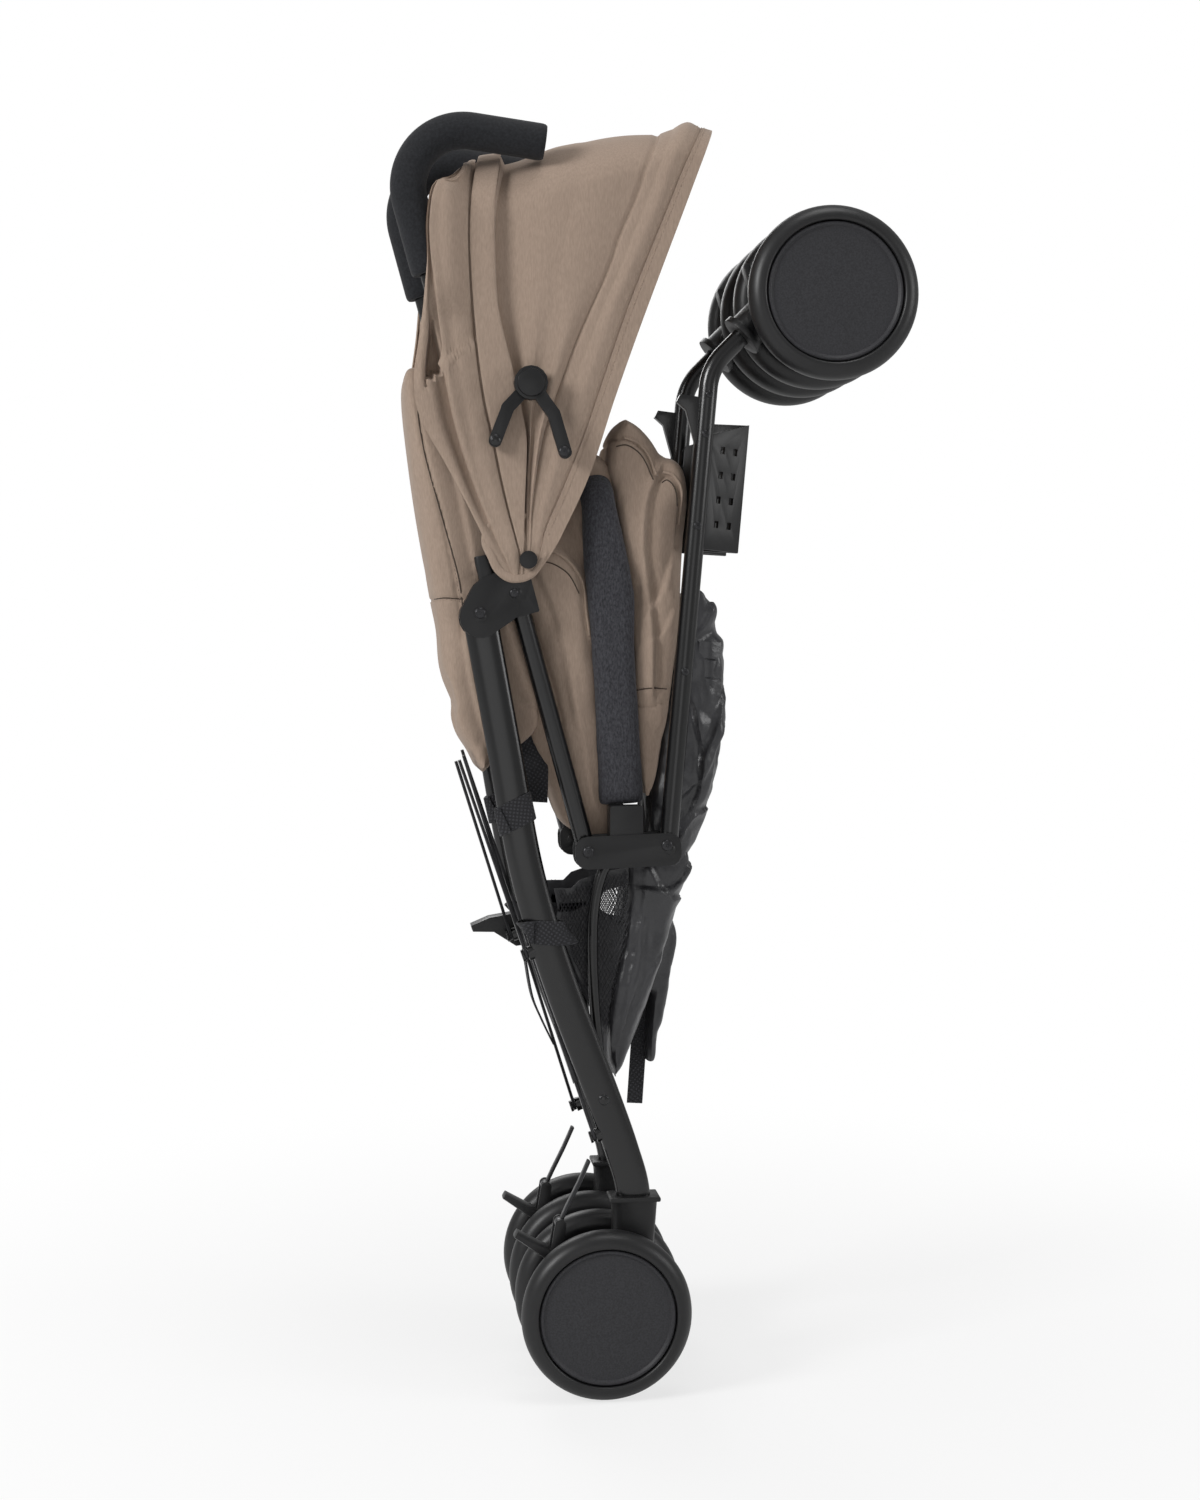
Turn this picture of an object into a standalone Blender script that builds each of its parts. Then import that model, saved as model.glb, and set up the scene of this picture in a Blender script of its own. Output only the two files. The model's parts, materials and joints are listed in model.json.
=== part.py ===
"""Umbrella-fold stroller, modelled folded and standing on its rear wheels.

Metres, +Z up, +X to the front, the right side of the stroller at -Y.
Heights are above the floor. Distances along X are from the rear axle, and one
empty carries the whole model to its origin.
"""

import math

import bmesh
import bpy
from mathutils import Matrix, Vector

# Place of the rear axle along X, so that the origin is under the middle of the box
REAR_AXLE_X = -0.0426

# Clearances
GAP = 0.0003
PIN_CLEARANCE = 0.0004
WELD = 0.000004
SWING_CLEARANCE = 0.0015

# Side frames: half the distance between them folded
FRAME_HALF = 0.0640

# Round tubes of the frame
TUBE_DIA = 0.0160
TUBE_LEAN = math.radians(15.2)
TUBE_SIDES = 12

# Pivot bolts of the fold
PIN_DIA = 0.0060
RIVET_DIA = 0.0095
RIVET_RISE = 0.0020

# Pivots and joints of the side frame, X from the rear axle and Z above the floor
LINK_REAR_X = -0.0129
LINK_REAR_Z = 0.4581
LINK_FRONT_X = 0.0562
LINK_FRONT_Z = 0.4607
ELBOW_X = -0.1027
ELBOW_Z = 0.6559
BRACE_FOOT_X = 0.0007
BRACE_FOOT_Z = 0.2482

# Handle tube and its foam grip
TUBE_STRAIGHT = 0.6285
TUBE_END = 0.0090
GRIP_DIA = 0.0300
GRIP_START = 0.4985
GRIP_BEND_RADIUS = 0.0470
GRIP_BEND = math.radians(112.5)
GRIP_REACH = 0.1310
GRIP_PLUG = 0.0030

# Elbow casting
ELBOW_THICK = 0.0220
ELBOW_LOBE = 0.0175
SLEEVE_RIVET_HEIGHT = 0.2265
SLEEVE_HALF_LENGTH = 0.0190
SLEEVE_HALF_WIDTH = 0.0125

# Rear leg, a flat oval tube
LEG_DEPTH = 0.0290
LEG_THICK = 0.0150
LEG_SIDES = 12

# Rear brace of two crossing arms and two links, in a plane behind the legs
BRACE_LEAN = math.radians(18.0)
LOWER_BOSS_X = -0.0070
LOWER_BOSS_Z = 0.2158
UPPER_BOSS_ALONG = 0.1664
ARM_LENGTH = 0.3520
ARM_ANGLE = math.radians(17.0)
BRACE_LINK_LENGTH = 0.1770
BRACE_LINK_ANGLE = math.radians(21.2)
BAR_WIDTH = 0.0090
BAR_THICK = 0.0026
BAR_LAYER = 0.0032
BOSS_DIA = 0.0130

# Wheels
WHEEL_DIA = 0.1440
WHEEL_WIDTH = 0.0260
TWIN_SPACING = 0.0660
WHEEL_SIDES = 24
TYRE_INNER_DIA = 0.1156
CAP_DEPTH = 0.0070
AXLE_DIA = 0.0100
HUB_DIA = 0.0280

# Rear wheel housing
HOUSING_WIDTH = 0.0370
HOUSING_THICK = 0.0240
HOUSING_TOP_X = 0.0270
HOUSING_TOP_Z = 0.1650
HOUSING_BOSS_DIA = 0.0380
SOCKET_BOTTOM_Z = 0.1260

# Link plates
CHEEK_THICK = 0.0030
CHEEK_HEIGHT = 0.0277
CHEEK_OVERHANG = 0.0098
SOCKET_WIDTH = 0.0280
SOCKET_TOP_Z = 0.4975

# Bumper bar with its padded sleeve
BUMPER_DEPTH = 0.0380
BUMPER_THICK = 0.0240
BUMPER_TOP_X = -0.0010
BUMPER_TOP_Z = 0.7860
BUMPER_OFFSET = 0.0020

# Front leg and caster
FRONT_LEG_LEAN = math.radians(4.95)
FRONT_BEND_Z = 0.8650
FRONT_BEND_RADIUS = 0.0450
SWIVEL_LEAN = math.radians(45.0)
LEG_FOOT_LENGTH = 0.0560
BARREL_DIA = 0.0320
BARREL_LENGTH = 0.0420
FRONT_AXLE_X = 0.1890
FRONT_AXLE_Z = 0.9240
FORK_THICK = 0.0300
FORK_BOSS_DIA = 0.0320

# Side brace
BRACE_TUBE_DIA = 0.0090
BRACE_CLEARANCE = 0.0019
BRACE_TUBE_Y = (FRAME_HALF - TUBE_DIA / 2.0 - GAP - CHEEK_THICK - BRACE_CLEARANCE
                - BRACE_TUBE_DIA / 2.0)
BRACE_EYE_DIA = 0.0130
BRACE_PIN_DIA = 0.0050

# Footrest plates
PLATE_WIDTH = 0.0520
PLATE_HEIGHT = 0.1100
PLATE_THICK = 0.0030
PLATE_INSET = 0.0033
PLATE_FOOT_Z = 0.7150
PLATE_MIDDLE = 0.004175
PLATE_Y = FRAME_HALF - TUBE_DIA / 2.0 - 0.0030
PLATE_FOLD = math.asin((PLATE_Y - PLATE_MIDDLE) / (2.0 * PLATE_WIDTH))
HINGE_EYE_DIA = 0.0056
HINGE_PIN_DIA = 0.0024
HINGE_EYES = (0.0120, 0.0300, 0.0780, 0.0920)

# Fold release pedal
RELEASE_WIDTH = 0.0200

# Canopy
CANOPY_PIVOT_X = -0.0634
CANOPY_PIVOT_Z = 0.7031
CANOPY_CLEARANCE = 0.0032
CANOPY_HALF = FRAME_HALF + ELBOW_THICK / 2.0 + CANOPY_CLEARANCE
CLOTH_THICK = 0.0022
REAR_CLOTH_THICK = 0.0018
SHEET_GAP = 0.0006
CANOPY_PAD_DIA = 0.0490
GRIP_ROOM = 0.0015
TUBE_ROOM = 0.0008
BUTTON_DIA = 0.0150

# Canopy stay
STAY_ARM = 0.0560
STAY_WIDTH = 0.0110
STAY_THICK = 0.0050
STAY_BOSS_DIA = 0.0280
STAY_Y = CANOPY_HALF + 0.0018
CLIP_PIN_DIA = 0.0048

# Soft parts
SOFT_HALF = FRAME_HALF - TUBE_DIA / 2.0 - 0.0090
SOFT_CROWN = 0.0070
BASKET_HALF = BRACE_TUBE_Y - 0.0073
BASKET_FRONT_HALF = BRACE_TUBE_Y - 0.0053
BASKET_CROWN = 0.0050
TAB_ROOT = 0.0340
TAB_HALF = 0.0050

# Clip on the rear brace
CLIP_HEIGHT = 0.0480
CLIP_LENGTH = 0.0520

# The right side is at -Y
SIDES = ((-1, "right"), (1, "left"))

COLOURS = {
    "powder_coat": ((0.012, 0.012, 0.013), 0.42, 0.0),
    "black_plastic": ((0.022, 0.022, 0.023), 0.50, 0.0),
    "tyre_foam": ((0.030, 0.030, 0.031), 0.55, 0.0),
    "grip_foam": ((0.024, 0.026, 0.028), 0.90, 0.0),
    "taupe_cloth": ((0.352, 0.262, 0.202), 0.85, 0.0),
    "grey_sleeve": ((0.040, 0.040, 0.043), 0.90, 0.0),
    "black_nylon": ((0.035, 0.035, 0.038), 0.60, 0.0),
    "steel_bar": ((0.060, 0.060, 0.062), 0.35, 0.8),
}


# Scene helpers

def clear_scene():
    for old in list(bpy.data.objects):
        bpy.data.objects.remove(old, do_unlink=True)


def make_material(node, finish):
    colour, roughness, metallic = COLOURS[finish]
    material = bpy.data.materials.new(node + "_" + finish)
    material.use_nodes = True
    shader = material.node_tree.nodes["Principled BSDF"]
    shader.inputs["Base Color"].default_value = (*colour, 1.0)
    shader.inputs["Roughness"].default_value = roughness
    shader.inputs["Metallic"].default_value = metallic
    return material


def make_pivot(name, place, parent):
    """An empty on a joint's axis, at a place given in the model's own coordinates."""
    empty = bpy.data.objects.new(name, None)
    bpy.context.scene.collection.objects.link(empty)
    empty["place"] = tuple(place)
    empty.parent = parent
    start = Vector(parent["place"]) if parent else Vector((0.0, 0.0, 0.0))
    empty.location = Vector(place) - start
    return empty


def make_node(node, shape, finish, pivot, smooth=True):
    """Name a finished shape, give it its material and hang it on its pivot."""
    place = Vector(pivot["place"])
    shape.data.transform(Matrix.Translation(-place))
    shape.name = node
    shape.data.name = node
    shape.parent = pivot
    shape.data.materials.clear()
    shape.data.materials.append(make_material(node, finish))
    if smooth:
        shape.data.shade_smooth()
        shape.data.set_sharp_from_angle(angle=math.radians(35.0))
    return shape


def as_object(mesh_builder):
    """Turn a bmesh into a loose object with its faces pointing out."""
    bmesh.ops.remove_doubles(mesh_builder, verts=mesh_builder.verts, dist=0.00001)
    bmesh.ops.recalc_face_normals(mesh_builder, faces=mesh_builder.faces)
    mesh = bpy.data.meshes.new("shape")
    mesh_builder.to_mesh(mesh)
    mesh_builder.free()
    shape = bpy.data.objects.new("shape", mesh)
    bpy.context.scene.collection.objects.link(shape)
    return shape


def apply_modifiers(shape):
    graph = bpy.context.evaluated_depsgraph_get()
    finished = bpy.data.meshes.new_from_object(shape.evaluated_get(graph))
    shape.modifiers.clear()
    shape.data = finished
    return shape


def combine(shape, other, operation):
    cutter = shape.modifiers.new("combine", "BOOLEAN")
    cutter.operation = operation
    cutter.solver = "EXACT"
    cutter.object = other
    apply_modifiers(shape)
    bpy.data.objects.remove(other, do_unlink=True)
    builder = bmesh.new()
    builder.from_mesh(shape.data)
    bmesh.ops.remove_doubles(builder, verts=builder.verts, dist=WELD)
    bmesh.ops.dissolve_degenerate(builder, edges=builder.edges, dist=WELD)
    builder.to_mesh(shape.data)
    builder.free()
    return shape


def fuse(shape, *others):
    for other in others:
        combine(shape, other, "UNION")
    return shape


def cut(shape, *others):
    for other in others:
        combine(shape, other, "DIFFERENCE")
    return shape


# Shape helpers

def ring(width, height, sides, square=2.0):
    """Points of a superellipse; square 2 is an ellipse, more is boxier."""
    points = []
    for step in range(sides):
        angle = 2.0 * math.pi * step / sides
        c = math.cos(angle)
        s = math.sin(angle)
        u = math.copysign(abs(c) ** (2.0 / square), c) * width / 2.0
        v = math.copysign(abs(s) ** (2.0 / square), s) * height / 2.0
        points.append((u, v))
    return points


def loft(rings):
    """Join closed rings of points into a solid with flat ends."""
    builder = bmesh.new()
    rows = [[builder.verts.new(point) for point in row] for row in rings]
    count = len(rows[0])
    for first, second in zip(rows, rows[1:]):
        for step in range(count):
            after = (step + 1) % count
            builder.faces.new((first[step], first[after], second[after], second[step]))
    builder.faces.new(rows[0])
    builder.faces.new(list(reversed(rows[-1])))
    return as_object(builder)


def sweep(path, sections, across=Vector((0.0, 1.0, 0.0))):
    """Carry a section along a path; across is the section's own second direction."""
    if not isinstance(sections[0], list):
        sections = [sections] * len(path)
    rings = []
    for step, point in enumerate(path):
        before = path[max(step - 1, 0)]
        after = path[min(step + 1, len(path) - 1)]
        along = (after - before).normalized()
        side = (across - along * across.dot(along)).normalized()
        out = side.cross(along)
        rings.append([point + out * u + side * v for u, v in sections[step]])
    return loft(rings)


def prism(outline, low, high):
    """Push an outline in the XZ plane along Y."""
    rings = [[Vector((x, y, z)) for x, z in outline] for y in (low, high)]
    return loft(rings)


def lathe(profile, centre, axis, sides):
    """Turn a closed outline of (radius, along) round an axis."""
    axis = axis.normalized()
    helper = Vector((1.0, 0.0, 0.0)) if abs(axis.x) < 0.7 else Vector((0.0, 0.0, 1.0))
    first = (helper - axis * helper.dot(axis)).normalized()
    second = axis.cross(first)
    builder = bmesh.new()
    rows = []
    for radius, along in profile:
        if radius < 1e-6:
            rows.append([builder.verts.new(centre + axis * along)] * sides)
            continue
        row = []
        for step in range(sides):
            angle = 2.0 * math.pi * step / sides
            spoke = first * math.cos(angle) + second * math.sin(angle)
            row.append(builder.verts.new(centre + axis * along + spoke * radius))
        rows.append(row)
    closed = profile[0][0] > 1e-6 and profile[-1][0] > 1e-6
    pairs = list(zip(rows, rows[1:]))
    if closed:
        pairs.append((rows[-1], rows[0]))
    for lower, upper in pairs:
        for step in range(sides):
            after = (step + 1) % sides
            corners = []
            for corner in (lower[step], lower[after], upper[after], upper[step]):
                if corner not in corners:
                    corners.append(corner)
            if len(corners) > 2:
                builder.faces.new(corners)
    return as_object(builder)


def rod(centre, axis, radius, low, high, sides=10):
    return lathe([(0.0, low), (radius, low), (radius, high), (0.0, high)], centre, axis, sides)


def rivet(centre, axis, radius, rise):
    """A domed head standing on a face at the centre."""
    sink = 0.0006
    profile = [(0.0, -sink), (radius, -sink), (radius, rise * 0.35), (radius * 0.7, rise * 0.85)]
    profile.append((0.0, rise))
    return lathe(profile, centre, axis, 10)


def smooth_path(points, steps):
    """A soft curve through a few points, read at even steps between them."""
    path = []
    last = len(points) - 1
    for index in range(last):
        p0 = points[max(index - 1, 0)]
        p1 = points[index]
        p2 = points[index + 1]
        p3 = points[min(index + 2, last)]
        for step in range(steps):
            t = step / steps
            path.append(0.5 * ((2 * p1) + (p2 - p0) * t + (2 * p0 - 5 * p1 + 4 * p2 - p3) * t * t
                               + (3 * p1 - p0 - 3 * p2 + p3) * t * t * t))
    path.append(points[last].copy())
    return path


def bent_path(start, heading, straight, radius, bend, reach, y, steps=8):
    """Straight run, arc and straight run in the XZ plane; heading is from +X towards +Z."""
    direction = Vector((math.cos(heading), 0.0, math.sin(heading)))
    points = [Vector((start[0], y, start[1]))]
    corner = points[0] + direction * straight
    points.append(corner)
    turn = math.copysign(1.0, bend)
    centre = corner + Vector((-direction.z, 0.0, direction.x)) * radius * turn
    for step in range(1, steps + 1):
        angle = abs(bend) * step / steps * turn
        spoke = corner - centre
        c = math.cos(angle)
        s = math.sin(angle)
        turned = Vector((spoke.x * c - spoke.z * s, 0.0, spoke.x * s + spoke.z * c))
        points.append(centre + turned)
    last = heading + bend
    points.append(points[-1] + Vector((math.cos(last), 0.0, math.sin(last))) * reach)
    return points


def hull_outline(circles, steps=6):
    """Outline round several circles (x, z, radius), as a tight band would run."""
    outline = []
    for step in range(steps * 3):
        angle = 2.0 * math.pi * step / (steps * 3)
        reach = max(circles, key=lambda c: c[0] * math.cos(angle) + c[1] * math.sin(angle) + c[2])
        point = (reach[0] + reach[2] * math.cos(angle), reach[1] + reach[2] * math.sin(angle))
        if not outline or math.dist(point, outline[-1]) > 0.0008:
            outline.append(point)
    if math.dist(outline[0], outline[-1]) < 0.0008:
        outline.pop()
    return outline


def rounded_bar(x0, x1, z0, z1, radius, steps=4):
    """Outline of a rectangle with round corners."""
    outline = []
    corners = ((x1 - radius, z1 - radius, 0.0), (x0 + radius, z1 - radius, 0.5 * math.pi),
               (x0 + radius, z0 + radius, math.pi), (x1 - radius, z0 + radius, 1.5 * math.pi))
    for x, z, start in corners:
        for step in range(steps + 1):
            angle = start + 0.5 * math.pi * step / steps
            outline.append((x + radius * math.cos(angle), z + radius * math.sin(angle)))
    return outline


# Places that several pieces share

TUBE_UP = Vector((-math.sin(TUBE_LEAN), 0.0, math.cos(TUBE_LEAN)))
ARM_ALONG = Vector((-math.sin(BRACE_LEAN), 0.0, math.cos(BRACE_LEAN)))
ARM_NORMAL = Vector((-math.cos(BRACE_LEAN), 0.0, -math.sin(BRACE_LEAN)))
SWIVEL_AXIS = Vector((math.cos(SWIVEL_LEAN), 0.0, math.sin(SWIVEL_LEAN)))
SWIVEL_SIDE = Vector((-SWIVEL_AXIS.z, 0.0, SWIVEL_AXIS.x))
FRONT_LEG_UP = Vector((math.sin(FRONT_LEG_LEAN), 0.0, math.cos(FRONT_LEG_LEAN)))
Y_AXIS = Vector((0.0, 1.0, 0.0))


def spot(x, z, side, half=FRAME_HALF):
    return Vector((x, side * half, z))


def link_rear(side):
    return spot(LINK_REAR_X, LINK_REAR_Z, side)


def link_front(side):
    return spot(LINK_FRONT_X, LINK_FRONT_Z, side)


def elbow_pivot(side):
    return spot(ELBOW_X, ELBOW_Z, side)


def lower_boss(side):
    return spot(LOWER_BOSS_X, LOWER_BOSS_Z, side)


def upper_boss(side):
    return lower_boss(side) + ARM_ALONG * UPPER_BOSS_ALONG


def rear_axle(side):
    return spot(0.0, WHEEL_DIA / 2.0, side)


def front_axle(side):
    return spot(FRONT_AXLE_X, FRONT_AXLE_Z, side)


def handle_path(side, start, stop_short):
    """Centre line of the handle tube from a distance above the link pivot to the grip's end."""
    foot = link_rear(side) + TUBE_UP * start
    heading = 0.5 * math.pi + TUBE_LEAN
    straight = TUBE_STRAIGHT - GRIP_BEND_RADIUS * math.tan(GRIP_BEND / 2.0) - start
    reach = GRIP_REACH - GRIP_BEND_RADIUS * math.tan(GRIP_BEND / 2.0) - stop_short
    return bent_path((foot.x, foot.z), heading, straight, GRIP_BEND_RADIUS, -GRIP_BEND, reach,
                     side * FRAME_HALF)


def leg_path(side):
    points = [(ELBOW_X, ELBOW_Z), (-0.0828, 0.5464), (-0.0640, 0.4430), (-0.0380, 0.3540),
              (0.0016, 0.2473), (0.0170, 0.2030), (0.0262, 0.1684), (0.0274, SOCKET_BOTTOM_Z)]
    return smooth_path([spot(x, z, side) for x, z in points], 2)


def front_leg_path(side, start, stop_short):
    foot = link_front(side) + FRONT_LEG_UP * start
    heading = 0.5 * math.pi - FRONT_LEG_LEAN
    bend = SWIVEL_LEAN - heading
    straight = (FRONT_BEND_Z - LINK_FRONT_Z) / math.cos(FRONT_LEG_LEAN) - start
    straight -= FRONT_BEND_RADIUS * math.tan(abs(bend) / 2.0)
    return bent_path((foot.x, foot.z), heading, straight, FRONT_BEND_RADIUS, bend,
                     LEG_FOOT_LENGTH - stop_short, side * FRAME_HALF, 5)


# Frame pieces

def build_handle_tube():
    """Right handle tube with the clip that carries the canopy stay."""
    section = ring(TUBE_DIA, TUBE_DIA, TUBE_SIDES)
    tube = sweep(handle_path(-1, -TUBE_END, GRIP_PLUG), section)
    rear = stay_points(-1)[0]
    height = (rear.z - LINK_REAR_Z) / TUBE_UP.z
    seat = link_rear(-1) + TUBE_UP * height
    clip = prism(hull_outline([(seat.x, seat.z, 0.0060), (rear.x, rear.z, 0.0048)]),
                 -FRAME_HALF - TUBE_DIA / 2.0 + 0.0005, -FRAME_HALF + 0.0040)
    foot = Vector((rear.x, 0.0, rear.z))
    head = STAY_Y + STAY_THICK + GAP
    pin = rod(foot, -Y_AXIS, CLIP_PIN_DIA / 2.0, FRAME_HALF + 0.0060, head + 0.0010)
    button = rivet(Vector((rear.x, -head - 0.0006, rear.z)), -Y_AXIS, 0.0042, 0.0018)
    fuse(tube, clip, pin, button)
    return cut(tube, rod(link_rear(-1), Y_AXIS, PIN_DIA / 2.0 + PIN_CLEARANCE, -0.02, 0.02))


def build_handle_grip(side):
    start = GRIP_START
    grip = sweep(handle_path(side, start, 0.0), ring(GRIP_DIA, GRIP_DIA, TUBE_SIDES))
    bore_dia = TUBE_DIA + 2.0 * GAP
    bore = sweep(handle_path(side, start - 0.02, -0.02), ring(bore_dia, bore_dia, TUBE_SIDES))
    return cut(grip, bore)


def build_elbow(side):
    sleeve = link_rear(side) + TUBE_UP * SLEEVE_RIVET_HEIGHT
    lobe = (ELBOW_X, ELBOW_Z, ELBOW_LOBE)
    shoulder = (ELBOW_X + 0.0110, ELBOW_Z + 0.0120, 0.0220)
    corners = []
    for along, out in ((1, -1), (1, 1), (-1, 1), (-1, -1)):
        corner = sleeve + TUBE_UP * SLEEVE_HALF_LENGTH * along
        corner = corner + Vector((TUBE_UP.z, 0.0, -TUBE_UP.x)) * SLEEVE_HALF_WIDTH * out
        corners.append((corner.x, corner.z, 0.0015))
    low = side * FRAME_HALF - ELBOW_THICK / 2.0
    high = side * FRAME_HALF + ELBOW_THICK / 2.0
    casting = prism(hull_outline([lobe, shoulder, corners[0]]), low, high)
    sleeve_block = prism(hull_outline(corners), low + 0.0006, high - 0.0006)
    fuse(casting, sleeve_block)
    ear_low = side * (FRAME_HALF + TUBE_DIA / 2.0 - 0.0030)
    ear_high = side * (FRAME_HALF + ELBOW_THICK / 2.0)
    pivot = (CANOPY_PIVOT_X, CANOPY_PIVOT_Z, 0.0065)
    ear = prism(hull_outline([pivot, (sleeve.x, sleeve.z, 0.0080)]), min(ear_low, ear_high),
                max(ear_low, ear_high))
    out = Y_AXIS * side
    face = spot(CANOPY_PIVOT_X, CANOPY_PIVOT_Z, side, FRAME_HALF + ELBOW_THICK / 2.0)
    button_foot = CANOPY_HALF + GAP - (FRAME_HALF + ELBOW_THICK / 2.0)
    stem = rod(face, out, PIN_DIA / 2.0, -0.001, button_foot + 0.001)
    button = rod(face, out, BUTTON_DIA / 2.0, button_foot, button_foot + 0.0030, 16)
    fuse(casting, ear, stem, button)
    slot_half = LEG_THICK / 2.0 + GAP
    swing = LEG_DEPTH / 2.0 + SWING_CLEARANCE
    far = 0.060
    slot_outline = hull_outline([(ELBOW_X, ELBOW_Z, swing), (ELBOW_X + far * 0.15, ELBOW_Z - far, swing),
                                 (ELBOW_X - far * 0.35, ELBOW_Z - far, swing)])
    middle = side * FRAME_HALF
    cut(casting, prism(slot_outline, middle - slot_half, middle + slot_half))
    bore_dia = TUBE_DIA + 2.0 * GAP
    bore = sweep([link_rear(side) + TUBE_UP * 0.12, link_rear(side) + TUBE_UP * 0.34],
                 ring(bore_dia, bore_dia, TUBE_SIDES))
    cut(casting, bore)
    pin = rod(elbow_pivot(side), out, PIN_DIA / 2.0, -ELBOW_THICK / 2.0 + 0.001,
              ELBOW_THICK / 2.0 - 0.001)
    outer = elbow_pivot(side) + out * ELBOW_THICK / 2.0
    head = rivet(outer, out, RIVET_DIA / 2.0, RIVET_RISE)
    sleeve_face = Vector((sleeve.x, side * (FRAME_HALF + ELBOW_THICK / 2.0 - 0.0006), sleeve.z))
    sleeve_head = rivet(sleeve_face, out, RIVET_DIA / 2.0 * 0.8, RIVET_RISE * 0.8)
    return fuse(casting, pin, head, sleeve_head)


def build_rear_leg(side):
    section = ring(LEG_DEPTH, LEG_THICK, LEG_SIDES, 2.6)
    path = leg_path(side)
    leg = sweep(path, section)
    middle = side * FRAME_HALF
    end = prism(hull_outline([(ELBOW_X, ELBOW_Z, LEG_DEPTH / 2.0)]), middle - LEG_THICK / 2.0,
                middle + LEG_THICK / 2.0)
    fuse(leg, end)
    for place, layer in ((lower_boss(side), 0), (upper_boss(side), 2)):
        top = arm_layer(side, layer) + BAR_THICK / 2.0 + GAP
        low = arm_layer(side, layer) - BAR_THICK / 2.0 - GAP
        boss = rod(place, ARM_NORMAL, BOSS_DIA / 2.0, -0.0150, low, 12)
        stem = rod(place, ARM_NORMAL, PIN_DIA / 2.0, -0.0100, top + 0.0010, 10)
        head = rod(place, ARM_NORMAL, BOSS_DIA / 2.0 * 0.8, top, top + 0.0022, 12)
        fuse(leg, boss, stem, head)
    foot = Vector((BRACE_FOOT_X, 0.0, BRACE_FOOT_Z))
    inward = BRACE_TUBE_Y - BRACE_TUBE_DIA / 2.0 - GAP
    outward = BRACE_TUBE_Y + BRACE_TUBE_DIA / 2.0 + GAP
    fuse(leg, rod(foot, Y_AXIS * side, BRACE_EYE_DIA / 2.0, outward, FRAME_HALF - 0.0040),
         rod(foot, Y_AXIS * side, BRACE_PIN_DIA / 2.0, inward - 0.0008, outward + 0.0020),
         rod(foot, Y_AXIS * side, BRACE_PIN_DIA * 0.9, inward - 0.0012, inward),
         rivet(foot + Y_AXIS * side * (FRAME_HALF + LEG_THICK / 2.0), Y_AXIS * side, 0.0046, 0.0016))
    hole = rod(elbow_pivot(side), Y_AXIS, PIN_DIA / 2.0 + PIN_CLEARANCE, -0.02, 0.02)
    return cut(leg, hole)


def arm_layer(side, layer):
    """Distance of a bar's middle behind the plane of the bosses; right and left bars alternate."""
    return BAR_LAYER * (layer + (1 if side > 0 else 0))


def build_rear_housing(side):
    top = Vector((HOUSING_TOP_X, side * FRAME_HALF, HOUSING_TOP_Z))
    path = [top, top + Vector((0.0, 0.0, -0.020)), top + Vector((-0.0015, 0.0, -0.045)),
            top + Vector((-0.0100, 0.0, -0.070)), top + Vector((-0.0230, 0.0, -0.0900))]
    sizes = ((1.08, 1.05), (1.0, 1.0), (0.98, 1.05), (0.95, 1.15), (0.80, 1.2))
    sections = [ring(HOUSING_WIDTH * a, HOUSING_THICK * b, 20, 4.0) for a, b in sizes]
    body = sweep(path, sections)
    axle = rear_axle(side)
    half = TWIN_SPACING / 2.0 - WHEEL_WIDTH / 2.0 - SWING_CLEARANCE
    boss = rod(axle, Y_AXIS, HOUSING_BOSS_DIA / 2.0, -half, half, 20)
    web = prism(hull_outline([(0.0, WHEEL_DIA / 2.0, 0.0150), (0.0120, WHEEL_DIA / 2.0 + 0.030, 0.0180)]),
                side * FRAME_HALF - 0.0125, side * FRAME_HALF + 0.0125)
    pivot = pedal_pivot(side)
    knuckle = rod(pivot, Y_AXIS, 0.0065, -0.0060, 0.0060, 12)
    neck = prism(hull_outline([(pivot.x, pivot.z, 0.0050), (0.0080, pivot.z - 0.0050, 0.0080)]),
                 side * FRAME_HALF - 0.0060, side * FRAME_HALF + 0.0060)
    lip = prism(rounded_bar(HOUSING_TOP_X - 0.0215, HOUSING_TOP_X + 0.0215, HOUSING_TOP_Z - 0.0040,
                            HOUSING_TOP_Z, 0.0012, 2), side * FRAME_HALF - 0.0135,
                side * FRAME_HALF + 0.0135)
    reach = TWIN_SPACING / 2.0 + WHEEL_WIDTH / 2.0 - CAP_DEPTH - 0.0030
    spindle = rod(axle, Y_AXIS, AXLE_DIA / 2.0, -reach, reach, 14)
    fuse(body, boss, web, neck, knuckle, lip, spindle)
    socket = sweep(leg_path(side)[-6:] + [spot(0.0274, SOCKET_BOTTOM_Z - 0.0010, side)],
                   ring(LEG_DEPTH + 2.0 * GAP, LEG_THICK + 2.0 * GAP, LEG_SIDES, 2.6))
    return cut(body, socket)


def pedal_pivot(side):
    return spot(-0.0200, 0.1020, side)


def bracket_pin(side):
    return spot(-0.0363, 0.1423, side)


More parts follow.
